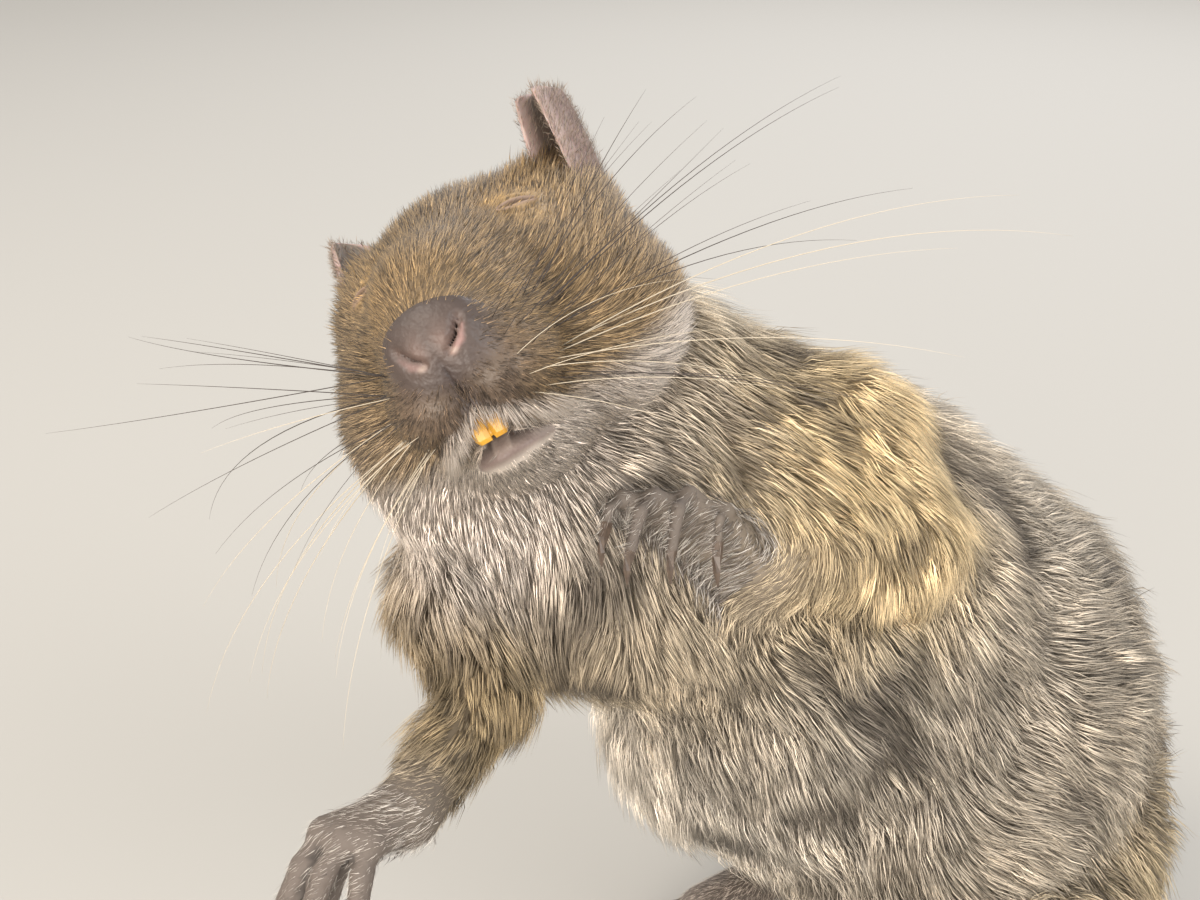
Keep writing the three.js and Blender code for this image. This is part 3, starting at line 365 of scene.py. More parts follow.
def part_weights(columns, spread=2.6):
    """Shares of the parts at each point: the nearer a part, the larger its share."""
    near = np.exp(-np.clip(columns - columns.min(1, keepdims=True), 0, 60) / spread)
    return near / near.sum(1, keepdims=True)


def muzzle_share(p):
    """1 at the nose, 0 from the cheeks backwards: how far along the head a point is."""
    return np.clip(1 - to_head(p)[:, 1] / 17, 0, 1)


def coat_values(p, columns):
    """The table's values at each point. On the head they shrink towards the nose."""
    weights = part_weights(columns)
    values = weights @ coat_rows
    shrink = muzzle_share(p) * weights[:, 0]
    values[:, 0] *= 1 - 0.85 * np.clip(1.35 * shrink, 0, 1)
    values[:, 1] *= 1 - 0.62 * shrink
    values[:, 2] *= 1 - 0.2 * shrink
    values[:, 4] *= 1 + 0.4 * shrink
    return values


def skin_field(p):
    """Distance from the skin: the body's field less the depth of the coat there."""
    columns = part_fields(p)
    return whole(columns) + coat_values(p, columns)[:, 0]


def slope_of(field, p, step=0.06):
    """Direction in which a field grows, from differences a short step to each side."""
    out = np.stack([field(p + e) - field(p - e) for e in np.eye(3) * step], 1)
    return out / np.maximum(size_of(out), 1e-9)[:, None]


# %% [markdown]
# ## From a distance to a mesh
# The surface is where the field is 0. A grid of lines is laid through the space, and each cell that the
# surface crosses gets one point, joined to its neighbours by squares. This net of squares suits soft forms,
# because it has no seam and no poles. The lines stand close round the head and hands and wider round the
# trunk, and whole blocks far from the surface are never worked out. At the end each point is moved onto the
# surface itself.

# %% A net of squares over a field
def lines(low, fine_low, fine_high, high, wide, fine):
    """Places of grid lines, fine between two limits and wide outside them."""
    below = np.arange(low, fine_low, wide)
    above = np.arange(fine_high, high + wide, wide)
    return np.concatenate([below, np.arange(fine_low, fine_high, fine), above])


def grid_points(xs, ys, zs):
    return np.stack(np.meshgrid(xs, ys, zs, indexing="ij"), -1).reshape(-1, 3)


def in_pieces(field, p, most=250_000):
    return np.concatenate([field(p[i:i + most]) for i in range(0, len(p), most)])


def sampled(field, xs, ys, zs, block=6):
    """Field values on the grid, worked out only in blocks that the surface may cross."""
    axes = (xs, ys, zs)
    starts = [np.arange(0, len(a), block) for a in axes]
    ends = [np.minimum(s + block, len(a) - 1) for s, a in zip(starts, axes)]
    middles = [(a[s] + a[e]) / 2 for a, s, e in zip(axes, starts, ends)]
    halves = [(a[e] - a[s]) / 2 for a, s, e in zip(axes, starts, ends)]
    reach = size_of(grid_points(*halves))
    rough = in_pieces(field, grid_points(*middles))
    shape = [len(s) for s in starts]
    near = (np.abs(rough) < 1.25 * reach + 0.5).reshape(shape)
    values = np.where(rough < 0, -1.0, 1.0).reshape(shape)
    for axis in range(3):
        near, values = np.repeat(near, block, axis), np.repeat(values, block, axis)
    cut = tuple(slice(len(a)) for a in axes)
    near, values = near[cut], np.ascontiguousarray(values[cut])
    i, j, k = np.nonzero(near)
    values[near] = in_pieces(field, np.stack([xs[i], ys[j], zs[k]], 1))
    return values


def net(field, xs, ys, zs, settle=2):
    """Points and squares of the surface where the field is 0, with the squares facing outwards."""
    values = sampled(field, xs, ys, zs)
    inside = values < 0
    cut = [slice(0, -1), slice(1, None)]
    corners = [(a, b, c) for a in (0, 1) for b in (0, 1) for c in (0, 1)]
    count = sum(inside[cut[a], cut[b], cut[c]].astype(np.int8) for a, b, c in corners)
    cells = (count > 0) & (count < 8)
    number = np.full(cells.shape, -1)
    number[cells] = np.arange(cells.sum())
    i, j, k = np.nonzero(cells)
    total, hits = np.zeros((len(i), 3)), np.zeros(len(i))
    for a in corners:
        for axis in range(3):
            if a[axis]:
                continue
            b = tuple(v + (n == axis) for n, v in enumerate(a))
            va, vb = values[i + a[0], j + a[1], k + a[2]], values[i + b[0], j + b[1], k + b[2]]
            crossed = (va < 0) != (vb < 0)
            t = np.where(crossed, va / np.where(crossed, va - vb, 1), 0)[:, None]
            pa = np.stack([xs[i + a[0]], ys[j + a[1]], zs[k + a[2]]], 1)
            pb = np.stack([xs[i + b[0]], ys[j + b[1]], zs[k + b[2]]], 1)
            total += crossed[:, None] * (pa + t * (pb - pa))
            hits += crossed
    points = total / hits[:, None]
    squares = []
    for axis in range(3):
        turn = [axis, (axis + 1) % 3, (axis + 2) % 3]
        side, ids = np.transpose(inside, turn), np.transpose(number, turn)
        crossed = side[:-1, 1:-1, 1:-1] != side[1:, 1:-1, 1:-1]
        u, v, w = np.nonzero(crossed)
        square = np.stack([ids[u, v, w], ids[u, v + 1, w], ids[u, v + 1, w + 1], ids[u, v, w + 1]], 1)
        outwards = side[u, v + 1, w + 1]
        squares.append(np.where(outwards[:, None], square, square[:, ::-1]))
    for _ in range(settle):
        normal = slope_of(field, points)
        points = points - np.clip(in_pieces(field, points), -0.4, 0.4)[:, None] * normal
    return points, np.concatenate(squares)


# %% [markdown]
# ## Helpers for meshes, colours and materials
# Colours are written as the hex values that a screen shows and turned to linear light once. One function
# puts arrays into a mesh, and one function adds a shader node with its settings and links.

# %% Mesh, colour and node helpers
def linear(hex_colour):
    """An sRGB hex colour as linear light."""
    c = np.array([int(hex_colour[i:i + 2], 16) for i in (1, 3, 5)]) / 255
    return np.where(c <= 0.04045, c / 12.92, ((c + 0.055) / 1.055) ** 2.4)


def make_mesh(name, points, faces, material, tint=None):
    """An object from points in own millimetres and faces of equally many corners, coloured by its tint."""
    mesh = bpy.data.meshes.new(name)
    corners = faces.shape[1]
    mesh.vertices.add(len(points))
    mesh.vertices.foreach_set("co", (points * MM + SHIFT).astype(np.float32).ravel())
    mesh.loops.add(faces.size)
    mesh.loops.foreach_set("vertex_index", faces.astype(np.int32).ravel())
    mesh.polygons.add(len(faces))
    mesh.polygons.foreach_set("loop_start", np.arange(0, faces.size, corners, dtype=np.int32))
    mesh.polygons.foreach_set("use_smooth", np.full(len(faces), True))
    if tint is not None:
        rgba = np.concatenate([tint, np.ones((len(tint), 1))], 1)
        layer = mesh.attributes.new("Tint", "FLOAT_COLOR", "POINT")
        layer.data.foreach_set("color", rgba.astype(np.float32).ravel())
    mesh.update(calc_edges=True)
    mesh.materials.append(material)
    made = bpy.data.objects.new(name, mesh)
    bpy.context.scene.collection.objects.link(made)
    triangles = len(faces) * (corners - 2)
    print(f"{name}: {len(points)} points, {triangles} triangles")
    return made


def add_node(tree, kind, settings=None, links=None):
    """A shader node. Settings with a capital go to inputs, others to properties. Links join its inputs."""
    made = tree.nodes.new(kind)
    for key, value in (settings or {}).items():
        if key[0].isupper():
            made.inputs[key].default_value = value
        else:
            setattr(made, key, value)
    for key, socket in (links or {}).items():
        tree.links.new(socket, made.inputs[key])
    return made


def new_material(name, **settings):
    """A material with one Principled shader, its constant numbers set on the shader's own sockets."""
    material = bpy.data.materials.new(name)
    material.use_nodes = True
    shader = material.node_tree.nodes["Principled BSDF"]
    for key, value in settings.items():
        shader.inputs[key.replace("_", " ")].default_value = value
    return material, material.node_tree, shader


def colour4(hex_colour):
    return (*linear(hex_colour), 1)


def texture_on(tree, kind, **settings):
    """A texture that is fixed to the object's own space."""
    place = add_node(tree, "ShaderNodeTexCoord")
    return add_node(tree, kind, settings, {"Vector": place.outputs["Object"]})


def grained(name, kind, height, strength, distance, grain, **settings):
    """A material coloured by Tint, with a fine grain that raises small bumps on it."""
    material, tree, shader = new_material(name, **settings)
    tint = add_node(tree, "ShaderNodeAttribute", {"attribute_name": "Tint"})
    relief = texture_on(tree, kind, **grain).outputs[height]
    bump = add_node(tree, "ShaderNodeBump", {"Strength": strength, "Distance": distance}, {"Height": relief})
    tree.links.new(tint.outputs["Color"], shader.inputs["Base Color"])
    tree.links.new(bump.outputs["Normal"], shader.inputs["Normal"])
    return material


def streaked(name, scale, low_hex, high_hex, **settings):
    """A material whose colour wavers between two colours, by a noise of the given scale."""
    material, tree, shader = new_material(name, **settings)
    noise = texture_on(tree, "ShaderNodeTexNoise", Scale=scale, Detail=3)
    tone = add_node(tree, "ShaderNodeValToRGB", links={"Fac": noise.outputs["Fac"]})
    tone.color_ramp.elements[0].color = colour4(low_hex)
    tone.color_ramp.elements[1].color = colour4(high_hex)
    tree.links.new(tone.outputs["Color"], shader.inputs["Base Color"])
    return material


print("colours are linear light:", np.round(linear("#808080"), 3))

# %% [markdown]
# ## Camera, floor and light
# The camera stands in front of the animal, on its left, and looks down on it, as the picture was taken.
# The floor is plain and pale. Four large soft lamps and a pale sky do for a studio: fine hair needs wide
# lights, because a small one would draw a hard glint on every hair.

# %% Camera, floor and lamps
scene = bpy.context.scene
scene.view_settings.view_transform = "Standard"
camera_data = bpy.data.cameras.new("view")
camera_data.sensor_width, camera_data.lens = 36, 45
camera_data.clip_start, camera_data.clip_end = 0.01, 20
camera = bpy.data.objects.new("view", camera_data)
camera.location = at(109.7, -125, 176.5) * MM + SHIFT
camera.rotation_euler = np.radians([65, 0, 50])
scene.collection.objects.link(camera)
scene.camera = camera

world = bpy.data.worlds.new("pale_room")
world.use_nodes = True
world.node_tree.nodes["Background"].inputs["Color"].default_value = colour4("#f5f2ee")
world.node_tree.nodes["Background"].inputs["Strength"].default_value = 1.0
scene.world = world


def lamp(name, place, aim, width, power, hex_colour):
    """A square soft lamp at a place, turned to shine at an aim, both in metres."""
    data = bpy.data.lights.new(name, "AREA")
    data.size, data.energy, data.color = width, power, linear(hex_colour)
    made = bpy.data.objects.new(name, data)
    made.location = place
    back = np.array(place) - np.array(aim)
    level = np.hypot(back[0], back[1])
    made.rotation_euler = (np.arctan2(level, back[2]), 0, np.arctan2(back[0], -back[1]))
    scene.collection.objects.link(made)


lamp("key", (-0.25, -0.75, 0.95), (0.02, -0.03, 0.09), 0.6, 9, "#fff6ea")
lamp("side", (0.95, 0.15, 0.7), (0.02, 0, 0.08), 0.6, 7.5, "#ffffff")
lamp("front", (0.42, -0.72, 0.08), (0.02, -0.04, 0.1), 0.5, 10, "#fff8ef")
lamp("rear", (-0.5, 0.85, 0.8), (0, 0, 0.08), 0.6, 6.5, "#f2f6ff")

floor_mesh = bpy.data.meshes.new("floor")
floor_mesh.from_pydata([(-4, -4, 0), (4, -4, 0), (4, 4, 0), (-4, 4, 0)], [], [(0, 1, 2, 3)])
floor = bpy.data.objects.new("floor", floor_mesh)
scene.collection.objects.link(floor)
# Matt paint shows soft shadows and no reflections.
floor_paint, _, _ = new_material("matt_floor_paint", Base_Color=colour4("#a9a6a0"), Roughness=0.8)
floor_mesh.materials.append(floor_paint)
print("camera at", [round(v, 3) for v in camera.location])

# %% [markdown]
# ## Colours of a wild coat
# The coat is agouti: each hair is slate at its root, golden further up, and some hairs end in a dark tip,
# which gives the ticked look. The face is greyer towards the nose, with an ochre patch over the eye and a
# pale chin, and the throat and belly are the palest. One function gives the colour of a place, and both
# skin and hair use it.

# %% The colour of each place
# The ribs' brown is darkened to stand for the shade on the flank: painted shade.
PART_HEX = {
    "head": "#a3875f", "neck": "#f1e3cd", "throat": "#f4e9e0", "chest": "#a09179", "ribs": "#857151",
    "belly": "#ece2d4", "rump": "#948060", "upper": "#e6cd9f", "fore": "#d2bb92", "hand": "#b3aaa0",
    "thigh": "#cfbc98", "shank": "#bdac90", "foot": "#aba096", "tail": "#8b7862",
    "upper_right": "#927c56", "fore_right": "#84724f",
}
part_colours = np.array([linear(PART_HEX.get(name) or PART_HEX[name.split("_")[0]]) for name in PARTS])
NOSE_BROWN, EYE_OCHRE, CHIN_PALE, SLATE, TICK = (
    linear(h) for h in ("#5c4c44", "#bb9863", "#f4e7db", "#453b33", "#261d17"))
SHOULDER_GOLD_AND_LIGHT = at(14, -16, 109)
# Spots where the coat looks dark. The first four, below the left hand and between the chest and the right
# arm, are painted shade; the last, near the left shoulder, is a parting.
PARTING_AND_SHADE_SPOTS = [(at(1.7, -48.5, 97.8), 1.7), (at(4.7, -46.6, 92.8), 1.6), (at(8.9, -41.7, 94), 2.4),
            (at(7.6, -43, 99.5), 2.2), (at(13.7, -18.6, 112.6), 2.4)]
waves = np.random.default_rng(7)
WAVE_WAYS = waves.normal(size=(8, 3))
WAVE_STARTS = waves.uniform(0, 6.28, 8)


def ripple(p, length, first=0):
    """Soft noise between about -1 and 1: the mean of a few waves that run different ways, length mm long."""
    ways = WAVE_WAYS[first:first + 5] * (2.6 / length)
    return np.sin(p @ ways.T + WAVE_STARTS[first:first + 5]).mean(1) * 1.5


def mixed(a, b, share):
    return a + (b - a) * np.clip(share, 0, 1)[:, None]


def coat_colour(p, columns):
    """Colour of the coat at each point: the parts' colours by weight, then the face's own markings."""
    weights = part_weights(columns, 3.5)
    c = weights @ part_colours
    q = to_head(p)
    on_head = weights[:, 0]
    # Painted light: the top of the left shoulder turns pale gold, partly the coat's own gold and partly light
    # falling there.
    near_shoulder = np.exp(-(size_of(p - SHOULDER_GOLD_AND_LIGHT) / 14) ** 2)
    c = mixed(c, part_colours[PARTS.index("upper_left")], near_shoulder * 0.85)
    c = mixed(c, part_colours[0], weights[:, 1] * np.clip((q[:, 2] + 4) / 8, 0, 1) * 0.75)
    from_nose = size_of((q - at(0, 1, -3.8)) / at(1.25, 1.1, 1))
    c = mixed(c, NOSE_BROWN, on_head * np.clip((7.6 - from_nose) / 3.6, 0, 1) * 0.8)
    under_cheek = 8.4 - 1.4 * np.clip((q[:, 1] - 8) / 10, 0, 1)
    underside = np.clip((-q[:, 2] - under_cheek) / 2.4, 0, 1) * np.clip((34 - q[:, 1]) / 14, 0, 1)
    c = mixed(c, CHIN_PALE, weights[:, [0, 1, 2]].sum(1) * underside * 0.9)
    for side in ("left", "right"):
        v = q - mirrored(EYE, side)
        above = np.exp(-((v - at(0, -1, 2.6)) ** 2 / at(9, 14, 6)).sum(1))
        before_ear = np.exp(-((q - mirrored(at(9.5, 26, 11), side)) ** 2 / at(8, 16, 8)).sum(1))
        c = mixed(c, EYE_OCHRE, on_head * np.maximum(above, before_ear))
    return c * (1 + 0.12 * ripple(p, 15) + 0.08 * ripple(p, 5, 3))[:, None]


FAMILY = [name.split("_")[0] for name in PARTS]
LONG_COATED = [i for i, kind in enumerate(FAMILY) if kind in ("chest", "upper", "ribs", "belly")]


def parted_and_shaded(p, columns):
    """Share of each place where the long coat parts and shows its slate roots, with the spots of painted
    shade added.
    """
    long_coated = part_weights(columns)[:, LONG_COATED].sum(1)
    share = np.clip((ripple(p, 9, 1) - 0.62) / 0.25, 0, 1) * long_coated * 0.8
    for centre, radius in PARTING_AND_SHADE_SPOTS:
        share = np.maximum(share, np.clip(1.6 - size_of(p - centre) / radius, 0, 1))
    return share


# %% [markdown]
# ## Where the fine pieces of the face lie
# The nose and the lids need far finer squares than the rest, so each is a patch of its own: a fan of rays
# from a point inside the head, each as long as the distance to the skin. Below a patch the skin sinks a
# little, so only the patch shows, and the rim of the patch dives under the skin.

# %% Patches and the wells below them
MUZZLE_HEART = at(0, 9, -4)
MUZZLE_AXIS = straight(at(0, -0.95, -0.3))
LID_AXIS = straight(at(0.54, -0.53, 0.65))
PATCHES = [(MUZZLE_HEART, MUZZLE_AXIS, 62, 2.6)]
PATCHES += [(mirrored(EYE, side), mirrored(LID_AXIS, side), 58, 1.6) for side in ("left", "right")]


def off_axis(q, heart, axis):
    """Angle in degrees between a patch's axis and the way from its heart to each point."""
    v = q - heart
    return np.degrees(np.arccos(np.clip(v @ axis / np.maximum(size_of(v), 1e-6), -1, 1)))


def well(q):
    """How far the skin sinks below the patches: smoothly, from their rims inwards."""
    depth = np.zeros(len(q))
    for heart, axis, spread, deepest in PATCHES:
        near = size_of(q - heart) < 16
        share = np.clip((spread - 5 - off_axis(q[near], heart, axis)) / 16, 0, 1)
        depth[near] += deepest * share * share * (3 - 2 * share)
    return depth


def sunk_skin(p):
    return skin_field(p) + well(to_head(p))


def cast(field, heart, ways, start, steps=16):
    """Length of each ray from the heart to the surface, found from outside by steps of the field's value."""
    r = np.full(len(ways), float(start))
    for _ in range(steps):
        r -= 0.85 * np.clip(field(heart + r[:, None] * ways), -1, 4)
    return r


def fan(heart, axis, spread, rings, around, start, side_way):
    """Ways and skin lengths of a fan: rings from the axis outwards, with as many rays each."""
    lean = np.radians(spread) * (np.arange(1, rings + 1) / rings) ** 0.9
    turn = 2 * np.pi * np.arange(around) / around
    side = straight(side_way - (side_way @ axis) * axis)
    other = np.cross(axis, side)
    across = np.cos(turn)[:, None] * side + np.sin(turn)[:, None] * other
    ways = np.cos(lean)[:, None, None] * axis + np.sin(lean)[:, None, None] * across
    ways = np.vstack([axis[None], ways.reshape(-1, 3)])
    lengths = cast(lambda q: skin_field(in_head(q)), heart, ways, start)
    return ways, lengths


def fan_faces(rings, around):
    """Triangles of a fan, facing away from its heart: a ring round the middle point, then ring to ring."""
    k = np.arange(around)
    after = (k + 1) % around
    faces = [np.stack([np.zeros(around, int), 1 + k, 1 + after], 1)]
    r = 1 + np.arange(rings - 1)[:, None] * around
    a, b = (r + k).ravel(), (r + after).ravel()
    c, d = b + around, a + around
    faces += [np.stack([a, d, c], 1), np.stack([a, c, b], 1)]
    return np.concatenate(faces)


print("patches:", len(PATCHES))

# %% [markdown]
# ## The skin
# The skin is bare hide, seen in the partings of the coat and between the thin hairs of the paws. It takes
# the coat's colour, darker and duller, and is grey on the paws, with painted shade in the paws' creases.

# %% Make the skin
WIDE, WIDE_UP, FINE = 1.3, 1.2, 0.62
LEAST_HEIGHT = 0.25
# Hide is dull. Its grain is about 0.7 mm wide, so the noise has 1400 waves to the metre.
hide = grained("furred_hide", "ShaderNodeTexNoise", "Fac", 0.35, 0.0002, {"Scale": 1400, "Detail": 3},
               Roughness=0.72)

skin_points, skin_squares = net(
    sunk_skin, lines(-80, -25, 20, 42, WIDE, FINE), lines(-80, -80, -22, 96, WIDE, FINE),
    lines(-0.5, 72, 141, 142, WIDE_UP, FINE))
skin_points[:, 2] = np.maximum(skin_points[:, 2], LEAST_HEIGHT)
skin_columns = part_fields(skin_points)
skin_tint = coat_colour(skin_points, skin_columns)
PAW_GREY = linear("#5d534c")
PAWS = [i for i, kind in enumerate(FAMILY) if kind in ("hand", "foot")]
on_paws = part_weights(skin_columns)[:, PAWS].sum(1)
skin_tint = mixed(mixed(skin_tint * 0.5, SLATE, np.full(len(skin_points), 0.35)), PAW_GREY, on_paws)
# Partings show the slate skin, and the spots of painted shade darken it the same way.
skin_tint = mixed(skin_tint, SLATE * 0.7, parted_and_shaded(skin_points, skin_columns))


def hollows(points, squares, field):
    """1 in creases, where the mean of a point's neighbours lies outside it, along the field's slope."""
    a = np.concatenate([squares[:, i] for i in range(4)])
    b = np.concatenate([squares[:, (i + 1) % 4] for i in range(4)])
    count = np.bincount(a)
    mean = np.stack([np.bincount(a, points[b, i]) / count for i in range(3)], 1)
    return np.clip(np.einsum("ij,ij->i", mean - points, slope_of(field, points)) / 0.05, 0, 1)


# Painted shade: the paws' skin is darkened in its creases, between the digits.
skin_tint *= (1 - 0.65 * on_paws * hollows(skin_points, skin_squares, skin_field))[:, None]
skin = make_mesh("skin", skin_points, skin_squares, hide, skin_tint)
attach(skin, "root")
FLESH = ["head", "neck", "torso", "tail_root", "tail_middle", "tail_tip"]
for name in ("upper_arm", "forearm", "hand", "thigh", "shank", "foot"):
    FLESH += [f"{name}_left", f"{name}_right"]
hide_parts(*FLESH)

# %% [markdown]
# ## Nose and mouth
# The nose pad is bare leather, flat in front, with two nostrils like slanting commas and a groove down to
# the split lip. Below it the two front teeth stand in the gap over the lower lip. All of these are heights
# over the head's own surface, so one function of the place (x across, z up) makes them on the fan of rays.

# %% Sculpt the muzzle
def segment(x, z, a, b, wide_a, wide_b):
    """Signed distance in the plane of the face to a tapering stroke from a to b."""
    ax, az, bx, bz = *a, *b
    t = np.clip(((x - ax) * (bx - ax) + (z - az) * (bz - az)) / ((bx - ax) ** 2 + (bz - az) ** 2), 0, 1)
    return np.hypot(x - ax - t * (bx - ax), z - az - t * (bz - az)) - (wide_a + t * (wide_b - wide_a))


def soft_step(d, edge):
    """1 where a distance is well below 0, 0 where it is well above, over the width edge."""
    s = np.clip(0.5 - d / edge, 0, 1)
    return s * s * (3 - 2 * s)


def muzzle_marks(q):
    """Shares from 0 to 1 of each feature at points on the muzzle's surface."""
    x, z = np.abs(q[:, 0]), q[:, 2]
    oval = ((x / 5.1) ** 2.5 + (np.abs(z - 0.1) / 4.0) ** 2.5) ** 0.4
    edge = np.where(q[:, 1] < 7, (oval - 1) * 4.4, 9)
    alar = np.minimum(segment(x, z, (3.05, 0.9), (2.3, -0.5), 0.42, 0.6),
                      segment(x, z, (2.3, -0.5), (1.35, -1.15), 0.6, 0.35))
    pink = np.minimum(segment(x, z, (3.2, 0.3), (2.5, -0.8), 0.05, 0.3),
                      segment(x, z, (2.5, -0.8), (1.5, -1.4), 0.3, 0.25))
    hole = np.minimum(segment(x, z, (3.0, 1.0), (2.2, -0.15), 0.02, 0.07),
                      segment(x, z, (2.2, -0.15), (1.4, -0.75), 0.07, 0.02))
    open_side = np.where(q[:, 0] > 0, 1, 0.45)
    valley = segment(x, z, (0, -1.6), (0, -6.6), 0.3, 1.5)
    groove = segment(x, z, (0, -2.2), (0, -6.8), 0.0, 0.12)
    gap = (np.hypot(x / 1.7, (z + 8.7) / 1.75) - 1) * 1.7
    line = np.minimum(segment(x, z, (1.2, -10.3), (3.6, -10.5), 0.3, 0.2),
                      segment(x, z, (3.6, -10.5), (6.2, -11.4), 0.2, 0.06))
    lip = np.minimum(segment(x, z, (0, -11.0), (2.4, -11.0), 0.7, 0.6),
                     segment(x, z, (2.4, -11.0), (4.6, -11.5), 0.6, 0.1))
    fringe = np.minimum(segment(x, z, (0, -6.2), (2.1, -7.3), 0.25, 0.3),
                        segment(x, z, (2.1, -7.3), (6.4, -9.5), 0.4, 0.7))
    return {
        "edge": edge, "pad": soft_step(edge, 2.2), "rim": np.exp(-((edge + 0.7) / 0.9) ** 2),
        "alar": soft_step(alar, 0.7), "pink": soft_step(pink, 0.5) * open_side,
        "hole": soft_step(hole, 0.14) * open_side,
        "valley": soft_step(valley, 2.2), "groove": soft_step(groove - 0.05, 0.3), "gap": soft_step(gap, 0.4),
        "line": soft_step(line, 0.4), "lip": soft_step(lip, 1.6), "fringe": soft_step(fringe, 1.3),
    }


def muzzle_height(q, marks):
    """Height of the features over the head's surface."""
    h = 0.12 + 0.28 * marks["pad"] - 0.4 * marks["valley"] - 0.2 * marks["groove"]
    h += (0.45 * marks["lip"] + 0.4 * marks["fringe"]) * (1 - marks["gap"])
    h -= 0.45 * marks["alar"] - 0.3 * marks["pink"] + 1.0 * marks["hole"]
    h -= 3.4 * marks["gap"] + 0.8 * marks["line"]
    x, z = q[:, 0], q[:, 2]
    creases = np.sin(x * 5.1 + 1.5 * np.sin(z * 2.3)) * np.sin(z * 4.7 + 2 * np.sin(x * 1.7))
    return h + 0.03 * creases * marks["pad"]


def muzzle_colour(q, marks):
    """Colours of the muzzle: coat colour, bare pad, pink inside the nostrils, with painted shade in the
    slits, the mouth, the groove and at the pad's upper rim, and a painted highlight below each nostril.
    """
    p, x, z = in_head(q), np.abs(q[:, 0]), q[:, 2]
    c = coat_colour(p, part_fields(p)) * 0.62
    c = mixed(c, linear("#483b35"), marks["pad"])
    # Painted shade: the pad darkens towards its rim, most over its upper half.
    c = mixed(c, linear("#3a2f2a"), marks["rim"] * np.clip((z + 3.5) / 4, 0.25, 1) * 0.85)
    c = mixed(c, linear("#69534a"), np.exp(-((x - 1.1) / 0.9) ** 2 - ((z + 0.1) / 1.3) ** 2) * 0.6)
    c = mixed(c, linear("#5b4942"), marks["alar"] * 0.7)
    c = mixed(c, linear("#876862"), marks["pink"] * 0.9)
    # Painted highlight: a pale spot at the lower inner end of each nostril.
    c = mixed(c, linear("#9d8c80"), np.exp(-((x - 1.6) / 0.35) ** 2 - ((z + 1.35) / 0.3) ** 2) * 0.8)
    # Painted shade in the philtrum's valley and along its groove.
    c = mixed(c, linear("#382d2a"), marks["valley"] * 0.85)
    c = mixed(c, linear("#2f2522"), marks["groove"] * 0.6)
    c = mixed(c, linear("#543e38"), marks["lip"] * 0.9)
    # Painted shade inside the nostril slits, along the mouth's line and in the gap round the teeth.
    c = mixed(c, linear("#231714"), np.clip(marks["hole"] + marks["line"] * 0.85, 0, 1))
    c = mixed(c, linear("#33201b"), marks["gap"])
    return c * (1 + 0.1 * ripple(q, 0.9))[:, None]


def patch_rim(ways, axis, spread):
    """How far the outermost part of a patch dives under the skin."""
    lean = np.degrees(np.arccos(np.clip(ways @ axis, -1, 1)))
    return 0.75 * np.clip((lean - (spread - 3)) / 3, 0, 1)


# Bare nose skin is pebbled, about 0.3 mm to a pebble or 3200 to the metre, with a soft moist sheen.
leather = grained("nose_leather", "ShaderNodeTexVoronoi", "Distance", 0.3, 0.00012, {"Scale": 3200},
                  Roughness=0.5)

MUZZLE_RINGS, MUZZLE_AROUND, MUZZLE_REACH = 150, 260, 15
heart, axis, spread, _ = PATCHES[0]
ways, lengths = fan(heart, axis, spread, MUZZLE_RINGS, MUZZLE_AROUND, MUZZLE_REACH, at(1, 0, 0))
muzzle_base = heart + ways * lengths[:, None]
muzzle_marks_here = muzzle_marks(muzzle_base)
muzzle_lengths = lengths + muzzle_height(muzzle_base, muzzle_marks_here) - patch_rim(ways, axis, spread)
muzzle_points = in_head(heart + ways * muzzle_lengths[:, None])
muzzle_faces = fan_faces(MUZZLE_RINGS, MUZZLE_AROUND)
muzzle = make_mesh("muzzle", muzzle_points, muzzle_faces, leather,
                   muzzle_colour(muzzle_base, muzzle_marks_here))
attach(muzzle, "root")
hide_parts("head")

# %% [markdown]
# ## Eyelids
# The animal dozes: the lids nearly close over a wet black eye. Each patch of lid has a narrow slit with a
# bare rim, and a fold above and below where the skin gathers. The slit goes deeper than the eyeball, which
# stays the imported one, so a true gap shows it.

# %% Sculpt the lids
SLIT_WAY = at(0.77, 0.61, -0.15)
SLIT_LONG, SLIT_HIGH = 1.9, 0.26
LID_RINGS, LID_AROUND, LID_REACH = 70, 140, 8


def lid_marks(q, side):
    """Places along and across the slit in mm, and the shares of slit, rim and folds."""
    centre, axis = mirrored(EYE, side), mirrored(LID_AXIS, side)
    way = mirrored(SLIT_WAY, side)
    way = straight(way - (way @ axis) * axis)
    over = np.cross(way, axis)
    over = over if over[2] > 0 else -over
    s, t = (q - centre) @ way, (q - centre) @ over
    open_half = SLIT_HIGH * np.sqrt(np.clip(1 - (s / SLIT_LONG) ** 2, 0, 1))
    d = np.hypot(np.maximum(np.abs(s) - SLIT_LONG, 0), np.maximum(np.abs(t) - open_half, 0))
    d = np.where(d > 0, d, -np.minimum(open_half - np.abs(t), 0.3))
    fold = np.abs(t - np.where(t > 0, 1.25, -1.05) - 0.12 * s * s * np.sign(-t))
    return {"slit": soft_step(d, 0.12), "rim": soft_step(d - 0.3, 0.3),
            "fold": np.exp(-(fold / 0.25) ** 2) * np.exp(-(s / 2.4) ** 4)}


